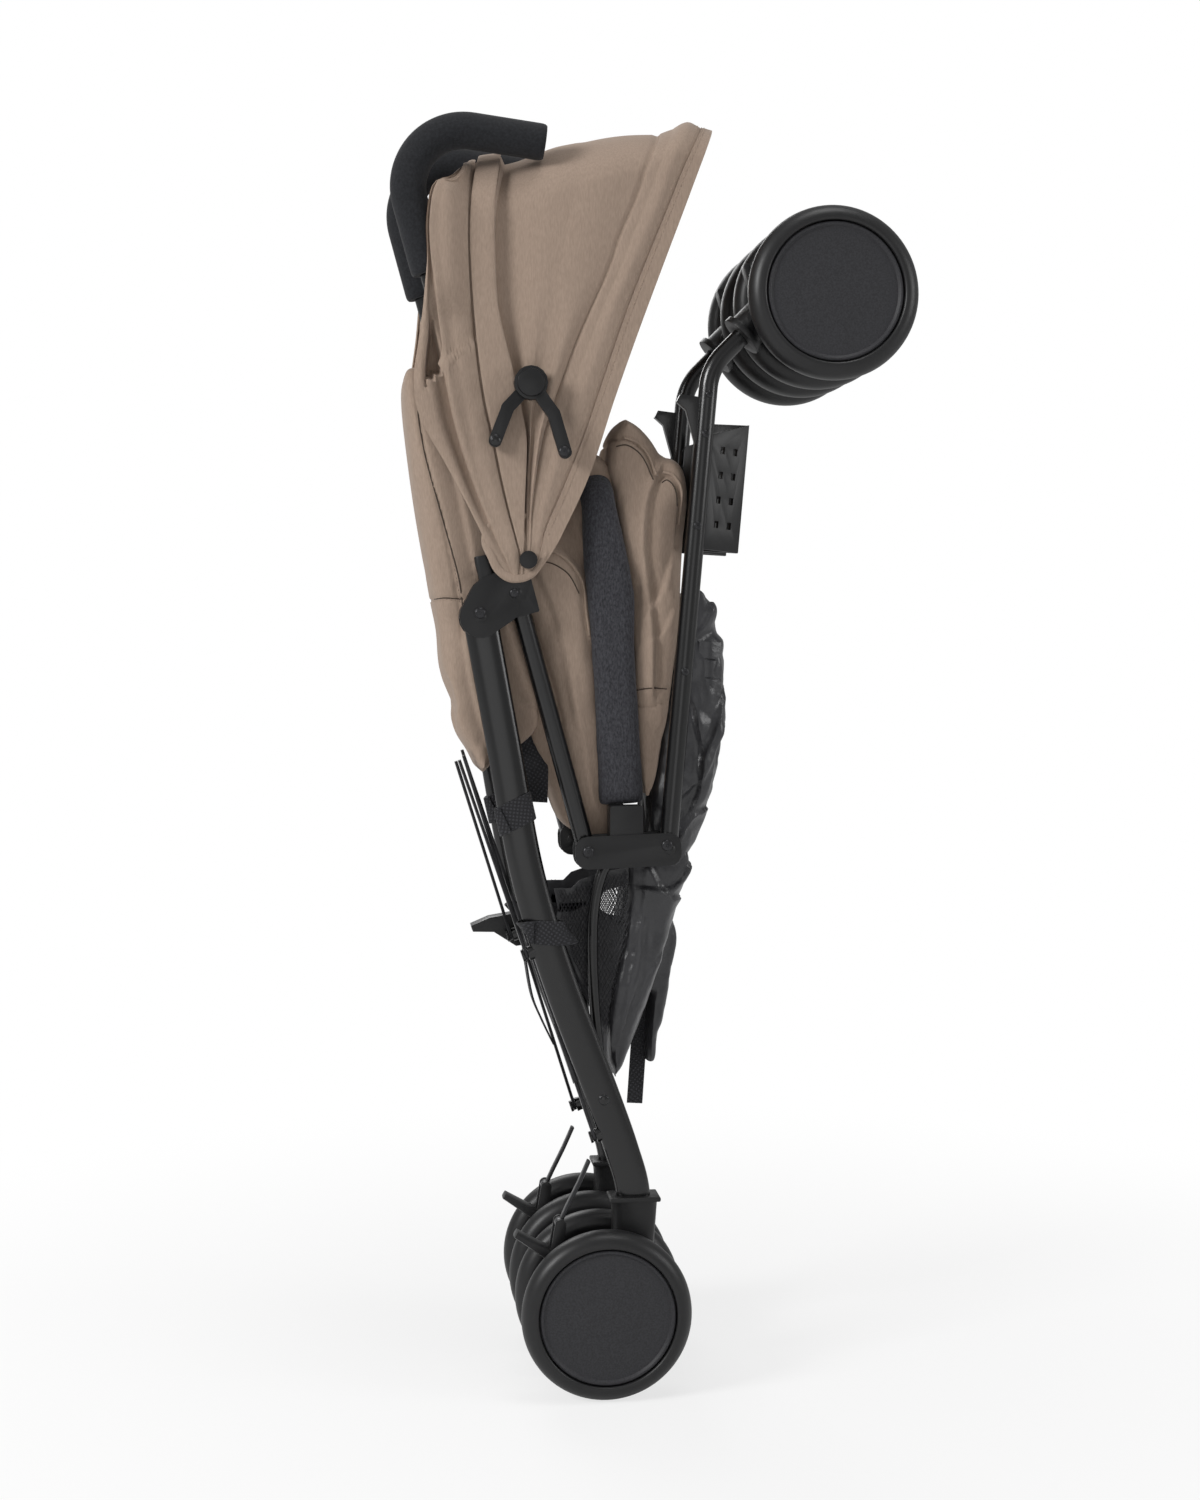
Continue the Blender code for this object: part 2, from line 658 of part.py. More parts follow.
def build_brake_pedal(side):
    pivot = pedal_pivot(side)
    middle = side * FRAME_HALF
    width = 0.0080
    points = [(pivot.x, pivot.z), (-0.0380, 0.1120), (-0.0560, 0.1230), (-0.0740, 0.1345)]
    path = [Vector((x, middle, z)) for x, z in points]
    lever = sweep(path, [ring(0.0150, 0.0250, 12, 4.0), ring(0.0120, 0.0220, 12, 4.0),
                         ring(0.0085, 0.0180, 12, 4.0), ring(0.0060, 0.0160, 12, 4.0)])
    eye = rod(pivot, Y_AXIS, 0.0080, -0.0125, 0.0125, 14)
    fuse(lever, eye)
    pin = bracket_pin(side)
    plates = []
    for offset in (-1, 1):
        low = middle + offset * width - 0.0011
        outline = hull_outline([(pin.x, pin.z, 0.0048), (-0.0400, 0.1190, 0.0050)])
        plates.append(prism(outline, low, low + 0.0022))
    fuse(lever, *plates)
    slot = rod(pivot, Y_AXIS, 0.0065 + SWING_CLEARANCE, -0.0060 - GAP, 0.0060 + GAP, 14)
    gap = prism(hull_outline([(pivot.x, pivot.z, 0.0070), (0.0150, pivot.z - 0.0100, 0.0140)]),
                middle - 0.0060 - GAP, middle + 0.0060 + GAP)
    cut(lever, slot, gap)
    stem = rod(pin, Y_AXIS, 0.0020, -width, width, 10)
    return fuse(lever, stem)


def build_brake_strap(side):
    foot = bracket_pin(side)
    middle = side * FRAME_HALF
    top = (-0.0115, 0.1950)
    points = [(foot.x, foot.z), (-0.0300, 0.1560), (-0.0200, 0.1760), top]
    path = smooth_path([Vector((x, middle, z)) for x, z in points], 2)
    strap = sweep(path, ring(0.0030, 0.0100, 10, 4.0))
    eye = rod(foot, Y_AXIS, 0.0045, -0.0050, 0.0050, 12)
    fuse(strap, eye)
    return cut(strap, rod(foot, Y_AXIS, 0.0020 + PIN_CLEARANCE, -0.02, 0.02, 10))


def build_link_plate(side):
    out = Y_AXIS * side
    middle = side * FRAME_HALF
    inner_face = TUBE_DIA / 2.0 + GAP
    slope = math.atan2(LINK_FRONT_Z - LINK_REAR_Z, LINK_FRONT_X - LINK_REAR_X)
    length = math.hypot(LINK_FRONT_X - LINK_REAR_X, LINK_FRONT_Z - LINK_REAR_Z)
    plain = rounded_bar(-CHEEK_OVERHANG - 0.001, length + CHEEK_OVERHANG, -CHEEK_HEIGHT / 2.0,
                        CHEEK_HEIGHT / 2.0, 0.0100, 4)
    outline = []
    for x, z in plain:
        outline.append((LINK_REAR_X + x * math.cos(slope) - z * math.sin(slope),
                        LINK_REAR_Z + x * math.sin(slope) + z * math.cos(slope)))
    cheeks = []
    for sign in (-1, 1):
        first = middle + sign * inner_face
        second = middle + sign * (inner_face + CHEEK_THICK)
        cheeks.append(prism(outline, min(first, second), max(first, second)))
    centre_x = 0.5 * (LINK_REAR_X + LINK_FRONT_X) - BUMPER_OFFSET
    block = prism(rounded_bar(centre_x - SOCKET_WIDTH / 2.0, centre_x + SOCKET_WIDTH / 2.0,
                              LINK_REAR_Z - CHEEK_HEIGHT / 2.0 + 0.004, SOCKET_TOP_Z, 0.0020, 2),
                  middle - inner_face - 0.0010, middle + inner_face + 0.0010)
    plate = cheeks[0]
    fuse(plate, cheeks[1], block)
    for place in (link_rear(side), link_front(side)):
        half = inner_face + 0.0010
        face = place + out * (inner_face + CHEEK_THICK)
        back = place - out * (inner_face + CHEEK_THICK)
        fuse(plate, rod(place, Y_AXIS, PIN_DIA / 2.0, -half, half),
             rivet(face, out, RIVET_DIA / 2.0, RIVET_RISE),
             rivet(back, -out, RIVET_DIA / 2.0, RIVET_RISE * 0.6))
    return plate


def build_bumper_half():
    """Right half of the arch; the two halves meet in the middle."""
    centre_x = 0.5 * (LINK_REAR_X + LINK_FRONT_X) - BUMPER_OFFSET
    foot = Vector((centre_x, -FRAME_HALF, SOCKET_TOP_Z + GAP))
    top = Vector((BUMPER_TOP_X, 0.0, BUMPER_TOP_Z - BUMPER_THICK / 2.0))
    up = Vector((top.x - foot.x, 0.0, top.z - foot.z)).normalized()
    straight = math.hypot(top.x - foot.x, top.z - foot.z) - FRAME_HALF
    path = [foot + up * straight * step / 3.0 for step in range(4)]
    for step in range(1, 7):
        angle = 0.5 * math.pi * step / 6.0
        path.append(foot + up * (straight + FRAME_HALF * math.sin(angle))
                    + Y_AXIS * FRAME_HALF * (1.0 - math.cos(angle)))
    across = Vector((up.z, 0.0, -up.x))
    half = sweep(path, ring(BUMPER_THICK, BUMPER_DEPTH, 14, 2.4), across)
    for vertex in half.data.vertices:
        vertex.co.y = min(vertex.co.y, -GAP / 2.0)
        vertex.co.z = max(vertex.co.z, foot.z)
    return half


def build_front_leg(side):
    section = ring(TUBE_DIA, TUBE_DIA, TUBE_SIDES)
    leg = sweep(front_leg_path(side, -TUBE_END, 0.0), section)
    tab_place = link_front(side) + FRONT_LEG_UP * 0.3750
    tab = prism([(tab_place.x - 0.0230, tab_place.z + 0.0080), (tab_place.x - 0.0060, tab_place.z + 0.0060),
                 (tab_place.x - 0.0050, tab_place.z - 0.0300), (tab_place.x - 0.0100, tab_place.z - 0.0340),
                 (tab_place.x - 0.0180, tab_place.z - 0.0050), (tab_place.x - 0.0260, tab_place.z + 0.0020)],
                side * FRAME_HALF - 0.0040, side * FRAME_HALF + 0.0040)
    fuse(leg, tab)
    hinge = plate_hinge(side)
    for low, high in (HINGE_EYES[:2], HINGE_EYES[2:]):
        rings = []
        for height in (low, high):
            foot = hinge + FRONT_LEG_UP * height
            out = foot + Y_AXIS * side * (FRAME_HALF - PLATE_Y)
            across = Vector((HINGE_EYE_DIA / 2.0, 0.0, 0.0))
            rings.append([foot - across, out - across, out + across, foot + across])
        fuse(leg, loft(rings), rod(hinge, FRONT_LEG_UP, HINGE_EYE_DIA / 2.0, low, high, 8))
    fuse(leg, rod(hinge, FRONT_LEG_UP, HINGE_PIN_DIA / 2.0, HINGE_EYES[1] - 0.001, HINGE_EYES[2] + 0.001, 8))
    hole = rod(link_front(side), Y_AXIS, PIN_DIA / 2.0 + PIN_CLEARANCE, -0.02, 0.02)
    return cut(leg, hole)


def build_side_brace(side):
    """Curved tube from the rear leg up to the front pivot of the link plates."""
    points = [(LINK_FRONT_X, LINK_FRONT_Z), (0.0360, 0.4600), (0.0160, 0.4540), (0.0030, 0.4400),
              (-0.0045, 0.4100), (-0.0062, 0.3720), (-0.0040, 0.3200), (0.0000, 0.2750),
              (BRACE_FOOT_X, BRACE_FOOT_Z)]
    middle = side * BRACE_TUBE_Y
    path = smooth_path([Vector((x, middle, z)) for x, z in points], 2)
    brace = sweep(path, ring(BRACE_TUBE_DIA, BRACE_TUBE_DIA, 8))
    foot = Vector((BRACE_FOOT_X, middle, BRACE_FOOT_Z))
    top = Vector((LINK_FRONT_X, middle, LINK_FRONT_Z))
    half = BRACE_TUBE_DIA / 2.0 - 0.0002
    fuse(brace, rod(foot, Y_AXIS, BRACE_EYE_DIA / 2.0, -half, half, 12),
         rod(top, Y_AXIS, BRACE_EYE_DIA / 2.0, -half, half, 12))
    return cut(brace, rod(foot, Y_AXIS, BRACE_PIN_DIA / 2.0 + PIN_CLEARANCE, -0.02, 0.02))


# Wheels and casters

def build_wheel(centre, outward):
    """Foam tyre on its rim; the recess for the hub cap faces outward."""
    radius = WHEEL_DIA / 2.0
    half = WHEEL_WIDTH / 2.0
    inner = TYRE_INNER_DIA / 2.0
    bore = AXLE_DIA / 2.0 + PIN_CLEARANCE
    floor = half - CAP_DEPTH - 0.0010
    profile = [(bore, -half + 0.0020), (HUB_DIA / 2.0, -half + 0.0020), (HUB_DIA / 2.0, -half + 0.0080),
               (inner - 0.0100, -half + 0.0080), (inner, -half), (radius - 0.0060, -half * 0.80),
               (radius, -half * 0.30), (radius, half * 0.30), (radius - 0.0060, half * 0.80),
               (inner, half), (inner, floor), (bore, floor)]
    return lathe(profile, centre, outward, WHEEL_SIDES)


def build_hub_cap(centre, outward):
    inner = TYRE_INNER_DIA / 2.0 - GAP
    half = WHEEL_WIDTH / 2.0
    floor = half - CAP_DEPTH - 0.0010 + GAP
    profile = [(0.0, floor), (inner, floor), (inner, half - 0.0020), (inner - 0.0010, half - 0.0012),
               (inner - 0.0020, half - 0.0038), (inner - 0.0038, half - 0.0038), (inner - 0.0046, half - 0.0016),
               (0.0, half - 0.0010)]
    return lathe(profile, centre, outward, WHEEL_SIDES)


def swivel_point(side, along, out=0.0):
    """Point on the caster's swivel axis, measured from the mouth of its barrel."""
    path = front_leg_path(side, 0.0, 0.0)
    mouth = path[-1] - SWIVEL_AXIS * LEG_FOOT_LENGTH * 0.62
    return mouth + SWIVEL_AXIS * along + SWIVEL_SIDE * out


def build_caster():
    mouth = swivel_point(-1, 0.0)
    barrel = rod(mouth, SWIVEL_AXIS, BARREL_DIA / 2.0, 0.0, BARREL_LENGTH, 18)
    flange = rod(mouth, SWIVEL_AXIS, BARREL_DIA / 2.0 + 0.0030, -0.0008, 0.0045, 18)
    axle = front_axle(-1)
    top = swivel_point(-1, BARREL_LENGTH - 0.0080)
    crown = swivel_point(-1, 0.0190)
    outline = hull_outline([(axle.x, axle.z, FORK_BOSS_DIA / 2.0 - 0.0040), (top.x, top.z, 0.0155),
                            (crown.x, crown.z, 0.0110)])
    fork = prism(outline, -FRAME_HALF - FORK_THICK / 2.0, -FRAME_HALF + FORK_THICK / 2.0)
    half = TWIN_SPACING / 2.0 - WHEEL_WIDTH / 2.0 - SWING_CLEARANCE
    boss = rod(axle, Y_AXIS, FORK_BOSS_DIA / 2.0, -half, half, 18)
    reach = TWIN_SPACING / 2.0 + WHEEL_WIDTH / 2.0 - CAP_DEPTH - 0.0030
    spindle = rod(axle, Y_AXIS, AXLE_DIA / 2.0, -reach, reach, 12)
    tip = swivel_point(-1, 0.0430, 0.0380)
    root = swivel_point(-1, 0.0330, 0.0160)
    lock = prism(hull_outline([(root.x, root.z, 0.0036), (tip.x, tip.z, 0.0026)]), -FRAME_HALF - 0.0075,
                 -FRAME_HALF + 0.0075)
    fuse(barrel, fork, flange, boss, spindle, lock)
    bore_dia = TUBE_DIA + 2.0 * PIN_CLEARANCE
    end = front_leg_path(-1, 0.0, 0.0)[-1] + SWIVEL_AXIS * 0.0010
    bore = sweep([mouth - SWIVEL_AXIS * 0.01, end], ring(bore_dia, bore_dia, TUBE_SIDES))
    return cut(barrel, bore)


# Footrest

def plate_hinge(side):
    height = (PLATE_FOOT_Z - LINK_FRONT_Z) / FRONT_LEG_UP.z
    foot = link_front(side) + FRONT_LEG_UP * height
    foot.y = side * PLATE_Y
    return foot


def plate_corner(side, index):
    """Foot of the hinge at a plate's far edge: 1 is the front fold, 2 the middle of the footrest."""
    forward = Vector((FRONT_LEG_UP.z, 0.0, -FRONT_LEG_UP.x))
    inward = Y_AXIS * -side
    along = math.cos(PLATE_FOLD)
    across = math.sin(PLATE_FOLD)
    fold = plate_hinge(side) + (forward * along + inward * across) * PLATE_WIDTH
    if index == 1:
        return fold
    return fold + (-forward * along + inward * across) * PLATE_WIDTH


def build_plate(side, index):
    start = plate_hinge(side) if index == 1 else plate_corner(side, 1)
    end = plate_corner(side, index)
    along = (end - start).normalized()
    inset = PLATE_INSET
    start = start + along * inset
    end = end - along * inset
    thick = along.cross(FRONT_LEG_UP).normalized() * PLATE_THICK / 2.0
    rise = FRONT_LEG_UP * PLATE_HEIGHT
    lean = FRONT_LEG_UP * (0.0150 if index == 1 else 0.0)
    low = [start - thick, end - thick, end + thick, start + thick]
    high = [start - thick + rise - lean, end - thick + rise, end + thick + rise, start + thick + rise - lean]
    plate = loft([low, high])
    for row in range(4):
        for column in (0.42, 0.72):
            height = 0.022 + 0.021 * row
            centre = start.lerp(end, column) + FRONT_LEG_UP * height
            window = loft([[centre + along * a + FRONT_LEG_UP * b + thick * t
                            for a, b in ((-0.0022, -0.003), (0.0022, -0.003), (0.0022, 0.003), (-0.0022, 0.003))]
                           for t in (-3.0, 3.0)])
            cut(plate, window)
    if index == 2:
        return plate
    hinge = plate_hinge(side)
    low = HINGE_EYES[1] + GAP
    high = HINGE_EYES[2] - GAP
    near = HINGE_EYE_DIA / 2.0 - 0.0007
    web = [[hinge + FRONT_LEG_UP * height + along * a + thick * t
            for a, t in ((near, -0.8), (inset + 0.002, -0.8), (inset + 0.002, 0.8), (near, 0.8))]
           for height in (low + 0.0005, high - 0.0005)]
    fuse(plate, loft(web), rod(hinge, FRONT_LEG_UP, HINGE_EYE_DIA / 2.0, low, high, 8))
    return cut(plate, rod(hinge, FRONT_LEG_UP, HINGE_PIN_DIA / 2.0 + PIN_CLEARANCE, 0.0, PLATE_HEIGHT, 8))


# Fold release pedal

def release_pivot():
    return spot(-0.0545, 0.3720, 1)


def build_fold_pedal():
    low = FRAME_HALF + LEG_THICK / 2.0 + GAP
    points = [(-0.0500, 0.3860), (-0.0450, 0.3620), (-0.0620, 0.3600), (-0.0820, 0.3730), (-0.1010, 0.3735),
              (-0.1025, 0.3790), (-0.0860, 0.3860), (-0.0620, 0.3900)]
    return prism(points, low, low + RELEASE_WIDTH)


# Canopy, with its cloth as curved sheets

# Ribs of the hood: low end and top end in X and Z, and how far down its shoulder starts
FRONT_RIBS = (
    ((-0.0500, 0.7000), (0.0985, 1.0715), 0.070),
    ((-0.0550, 0.7060), (0.0760, 1.0770), 0.075),
    ((-0.0565, 0.7100), (0.0510, 1.0665), 0.080),
    ((-0.0580, 0.7140), (0.0150, 1.0610), 0.090),
    ((-0.0600, 0.7180), (-0.0200, 1.0580), 0.100),
    ((-0.0640, 0.7250), (-0.0620, 1.0530), 0.110),
    ((-0.0700, 0.7350), (-0.0990, 1.0510), 0.110),
)
REAR_RIBS = (
    ((-0.0640, 0.7500), (-0.0300, 1.0500), 0.105),
    ((-0.0680, 0.7400), (-0.0650, 1.0510), 0.110),
    ((-0.0740, 0.7150), (-0.0990, 1.0500), 0.110),
    ((-0.0790, 0.7020), (-0.1230, 1.0420), 0.115),
    ((-0.0860, 0.7000), (-0.1420, 1.0260), 0.120),
    ((-0.0950, 0.7020), (-0.1560, 0.9900), 0.120),
    ((-0.1030, 0.7060), (-0.1640, 0.9400), 0.120),
)


def canopy_strip(rib, half, inset):
    """Points up the right side of a rib and over its shoulder to the middle."""
    (low_x, low_z), (top_x, top_z), shoulder = rib
    low = Vector((low_x, 0.0, low_z))
    top = Vector((top_x, 0.0, top_z))
    along = (top - low).normalized()
    reach = (top - low).length - inset
    points = [low + along * (reach - shoulder) * step / 3.0 - Y_AXIS * half for step in range(3)]
    for step in range(8):
        turn = 0.5 * math.pi * step / 7.0
        height = reach - shoulder + shoulder * math.sin(turn)
        points.append(low + along * height - Y_AXIS * half * math.cos(turn))
    return points


def sheet_solid(strips, thickness):
    """Right half of a sheet laid through strips of points, its thickness on the inside."""
    builder = bmesh.new()
    rows = [[builder.verts.new(point) for point in strip] for strip in strips]
    for first, second in zip(rows, rows[1:]):
        for step in range(len(first) - 1):
            builder.faces.new((first[step], first[step + 1], second[step + 1], second[step]))
    bmesh.ops.recalc_face_normals(builder, faces=builder.faces)
    builder.faces.ensure_lookup_table()
    if builder.faces[0].normal.y > 0.0:
        bmesh.ops.reverse_faces(builder, faces=builder.faces)
    mesh = bpy.data.meshes.new("sheet")
    builder.to_mesh(mesh)
    builder.free()
    sheet = bpy.data.objects.new("sheet", mesh)
    bpy.context.scene.collection.objects.link(sheet)
    shell = sheet.modifiers.new("thickness", "SOLIDIFY")
    shell.thickness = thickness
    shell.offset = -1.0
    apply_modifiers(sheet)
    for vertex in sheet.data.vertices:
        vertex.co.y = min(vertex.co.y, -GAP / 2.0)
    return sheet


def build_canopy_front():
    """Right half of the hood's front part: side wall, shoulder and half the roof."""
    strips = []
    for rib in FRONT_RIBS:
        strips.append(canopy_strip(rib, CANOPY_HALF, 0.0))
    sheet = sheet_solid(strips, CLOTH_THICK)
    centre = Vector((CANOPY_PIVOT_X, -CANOPY_HALF, CANOPY_PIVOT_Z))
    fuse(sheet, rod(centre, Y_AXIS, CANOPY_PAD_DIA / 2.0, 0.0002, CLOTH_THICK - 0.0002, 24))
    return cut(sheet, rod(centre, Y_AXIS, PIN_DIA / 2.0 + PIN_CLEARANCE, -0.01, 0.01))


def mirror_to(shape, side):
    """Shapes are made on the right side; the left side gets their mirror image."""
    if side > 0:
        shape.data.transform(Matrix.Scale(-1.0, 4, Y_AXIS))
        builder = bmesh.new()
        builder.from_mesh(shape.data)
        bmesh.ops.reverse_faces(builder, faces=builder.faces)
        builder.to_mesh(shape.data)
        builder.free()
    return shape


def build_canopy_rear_half():
    """Right half of the hood's rear part, which stays with the frame and reaches under the front."""
    inset = CLOTH_THICK + SHEET_GAP
    strips = []
    for rib in REAR_RIBS:
        strips.append(canopy_strip(rib, CANOPY_HALF - inset, inset))
    sheet = sheet_solid(strips, REAR_CLOTH_THICK)
    rear = stay_points(-1)[0]
    room = GRIP_DIA + 2.0 * GRIP_ROOM
    round_grip = sweep(handle_path(-1, GRIP_START - GRIP_ROOM, -GRIP_ROOM), ring(room, room, 10))
    tube_room = TUBE_DIA + 2.0 * TUBE_ROOM
    ends = [link_rear(-1) + TUBE_UP * height for height in (0.30, GRIP_START)]
    round_tube = sweep(ends, ring(tube_room, tube_room, 10))
    round_clip = rod(Vector((rear.x, 0.0, rear.z)), -Y_AXIS, 0.0065, FRAME_HALF - 0.0040,
                     STAY_Y + 0.0100, 10)
    cut(sheet, round_grip, round_tube, round_clip)
    return keep_largest(sheet)


def keep_largest(shape):
    """Drop loose crumbs that a cut left behind."""
    builder = bmesh.new()
    builder.from_mesh(shape.data)
    unseen = set(builder.verts)
    islands = []
    while unseen:
        island = set()
        queue = [unseen.pop()]
        while queue:
            vert = queue.pop()
            island.add(vert)
            for edge in vert.link_edges:
                other = edge.other_vert(vert)
                if other in unseen:
                    unseen.discard(other)
                    queue.append(other)
        islands.append(island)
    islands.sort(key=len)
    for island in islands[:-1]:
        bmesh.ops.delete(builder, geom=list(island), context="VERTS")
    builder.to_mesh(shape.data)
    builder.free()
    return shape


def stay_points(side):
    """Rear rivet, boss and front rivet of the V stay, in the side plane."""
    rear = Vector((-0.0908, side * STAY_Y, 0.8007))
    boss = Vector((-0.0617, side * STAY_Y, 0.8478))
    front = Vector((-0.0336, side * STAY_Y, 0.7914))
    return rear, boss, front


def build_stay_arm(which):
    """One arm of the right stay; the rear arm carries the pin and button of the middle joint."""
    rear, boss, front = stay_points(-1)
    end = rear if which == "rear" else front
    near = STAY_Y if which == "rear" else STAY_Y + STAY_THICK + GAP
    far = near + STAY_THICK
    bend = end.lerp(boss, 0.5)
    bend.x += -0.0045 if which == "rear" else 0.0045
    bend.z += 0.0030
    half = STAY_WIDTH / 2.0
    arm = prism(hull_outline([(end.x, end.z, half), (bend.x, bend.z, half)]), -far, -near)
    upper = prism(hull_outline([(bend.x, bend.z, half), (boss.x, boss.z, half)]), -far + 0.0001, -near - 0.0001)
    middle = Vector((boss.x, 0.0, boss.z))
    disc = rod(middle, -Y_AXIS, STAY_BOSS_DIA / 2.0, near + 0.0002, far - 0.0002, 16)
    fuse(arm, upper, disc)
    foot = Vector((end.x, 0.0, end.z))
    if which == "rear":
        top = near + 2.0 * STAY_THICK + 2.0 * GAP
        pin = rod(middle, -Y_AXIS, PIN_DIA / 2.0, near + 0.0010, top + 0.0010)
        button = lathe([(0.0, top), (STAY_BOSS_DIA * 0.42, top), (STAY_BOSS_DIA * 0.40, top + 0.0016),
                        (0.0, top + 0.0026)], middle, -Y_AXIS, 16)
        fuse(arm, pin, button)
        return cut(arm, rod(foot, -Y_AXIS, CLIP_PIN_DIA / 2.0 + PIN_CLEARANCE, near - 0.01, far + 0.01))
    fuse(arm, rod(foot, -Y_AXIS, 0.0035, CANOPY_HALF + GAP, near + 0.0010))
    return cut(arm, rod(middle, -Y_AXIS, PIN_DIA / 2.0 + PIN_CLEARANCE, near - 0.01, far + 0.01))


# Soft pieces, as closed solids of the right size

def inset_outline(outline, amount):
    """The outline drawn in by an amount all round; it runs anticlockwise seen from -Y."""
    area = sum(a[0] * b[1] - b[0] * a[1] for a, b in zip(outline, outline[1:] + outline[:1]))
    turn = math.copysign(1.0, area)
    drawn = []
    count = len(outline)
    for index, (x, z) in enumerate(outline):
        before = outline[index - 1]
        after = outline[(index + 1) % count]
        tangent = Vector((after[0] - before[0], after[1] - before[1])).normalized()
        drawn.append((x - tangent.y * amount * turn, z + tangent.x * amount * turn))
    return drawn


def pillow(outline, stations):
    """A soft solid: the outline carried across the stroller, drawn in at the stations given."""
    rings = []
    for y, amount in stations:
        rings.append([Vector((x, y, z)) for x, z in inset_outline(outline, amount)])
    return loft(rings)


def pillow_stations(half, crown, whole):
    """Stations of a cushion with a crown; a whole one runs to both sides, else the right half."""
    right = [(-half, crown * 0.9), (-half + 0.0025, crown * 0.45), (-half * 0.8, crown * 0.12)]
    if not whole:
        return right + [(-GAP / 2.0, 0.0)]
    left = [(-y, amount) for y, amount in reversed(right)]
    return right + [(0.0, 0.0)] + left


def add_tabs(cushion, outline, half, sides=(-1, 1)):
    """Cloth tabs that reach out from the cushion to the frame that carries it."""
    for side in sides:
        low, high = sorted((side * TAB_ROOT, side * half))
        fuse(cushion, prism(outline, low, high))
    return cushion


def tab_along(first, second):
    """Outline of a tab that follows a tube between two points."""
    return [(first.x - TAB_HALF, first.z), (first.x + TAB_HALF, first.z),
            (second.x + TAB_HALF, second.z), (second.x - TAB_HALF, second.z)]


def build_backrest():
    outline = [(-0.1590, 0.8900), (-0.1610, 0.8500), (-0.1530, 0.7850), (-0.1441, 0.7206), (-0.1350, 0.6687),
               (-0.1280, 0.6300), (-0.1240, 0.5950), (-0.1060, 0.5620), (-0.0960, 0.5330), (-0.0880, 0.5450),
               (-0.0960, 0.6000), (-0.1060, 0.6800), (-0.1140, 0.7300), (-0.1220, 0.7800), (-0.1370, 0.8700),
               (-0.1440, 0.9000)]
    cushion = pillow(outline, pillow_stations(SOFT_HALF, SOFT_CROWN, True))
    tab = [(-0.1180, 0.6500), (-0.1050, 0.6500), (-0.1070, 0.6690), (-0.1180, 0.6650)]
    return add_tabs(cushion, tab, FRAME_HALF - ELBOW_THICK / 2.0 - GAP)


def build_seat():
    outline = [(-0.0860, 0.6300), (-0.0700, 0.5600), (-0.0420, 0.5050), (-0.0060, 0.4790), (0.0110, 0.4790),
               (0.0090, 0.5400), (0.0020, 0.6200), (-0.0100, 0.6900), (-0.0200, 0.7400), (-0.0300, 0.7800),
               (-0.0480, 0.7700), (-0.0600, 0.7200), (-0.0720, 0.6700)]
    cushion = pillow(outline, pillow_stations(SOFT_HALF, SOFT_CROWN, True))
    tab = tab_along(link_rear(-1) + TUBE_UP * 0.080, link_rear(-1) + TUBE_UP * 0.170)
    return add_tabs(cushion, tab, FRAME_HALF - TUBE_DIA / 2.0 - GAP)


def build_leg_rest_half():
    outline = [(0.0340, 0.5050), (0.0470, 0.5120), (0.0550, 0.6000), (0.0640, 0.7000), (0.0700, 0.7850),
               (0.0580, 0.8080), (0.0400, 0.8120), (0.0250, 0.7900), (0.0220, 0.7400), (0.0290, 0.6600),
               (0.0290, 0.5900)]
    cushion = pillow(outline, pillow_stations(SOFT_HALF, SOFT_CROWN, False))
    tab = [(0.0460, 0.6000), (0.0700, 0.6000), (0.0730, 0.6300), (0.0460, 0.6300)]
    return add_tabs(cushion, tab, FRAME_HALF - TUBE_DIA / 2.0 - GAP, (-1,))


def build_basket_front():
    outline = [(0.0680, 0.4820), (0.0920, 0.4800), (0.0980, 0.4980), (0.1050, 0.5200), (0.1060, 0.5800),
               (0.1055, 0.6250), (0.0880, 0.6850), (0.0800, 0.6700), (0.0760, 0.5800), (0.0700, 0.5200)]
    cushion = pillow(outline, pillow_stations(BASKET_FRONT_HALF, BASKET_CROWN, True))
    tab = [(0.0710, 0.6350), (0.0860, 0.6350), (0.0870, 0.6550), (0.0730, 0.6550)]
    return add_tabs(cushion, tab, FRAME_HALF - TUBE_DIA / 2.0 - GAP)


def build_basket_rear_half():
    outline = [(0.0300, 0.2285), (0.0468, 0.2280), (0.0547, 0.3130), (0.0600, 0.3600), (0.0700, 0.4000),
               (0.0860, 0.4350), (0.0600, 0.4400), (0.0300, 0.4250), (0.0170, 0.3600), (0.0170, 0.3000)]
    cushion = pillow(outline, pillow_stations(BASKET_HALF, BASKET_CROWN, False))
    tab = [(0.0100, 0.2300), (0.0380, 0.2295), (0.0380, 0.2380), (0.0100, 0.2380)]
    return add_tabs(cushion, tab, FRAME_HALF - LEG_THICK / 2.0 - GAP, (-1,))


def add_brace_clip(arm):
    """Plastic clip round the right long arm of the rear brace."""
    start = lower_boss(-1) + ARM_NORMAL * arm_layer(-1, 0)
    along = bar_direction(-1, ARM_ANGLE)
    across = along.cross(ARM_NORMAL).normalized()
    low = start + along * CLIP_HEIGHT
    high = low + along * CLIP_LENGTH
    out = ARM_NORMAL * (BAR_THICK / 2.0 + 0.0008)
    return fuse(arm, box_between(low, high, across * (BAR_WIDTH / 2.0 + 0.0040), out))


def box_between(low, high, across, out):
    """A bar of four corners between two points."""
    return loft([[end - across - out, end + across - out, end + across + out, end - across + out]
                 for end in (low, high)])


def bar_direction(side, angle):
    return ARM_ALONG * math.cos(angle) - Y_AXIS * side * math.sin(angle)


def build_arm(side):
    """Long flat arm of the rear brace, from its boss across to the other side."""
    start = lower_boss(side) + ARM_NORMAL * arm_layer(side, 0)
    arm = flat_bar(start, side, ARM_ANGLE, ARM_LENGTH)
    return add_brace_clip(arm) if side < 0 else arm


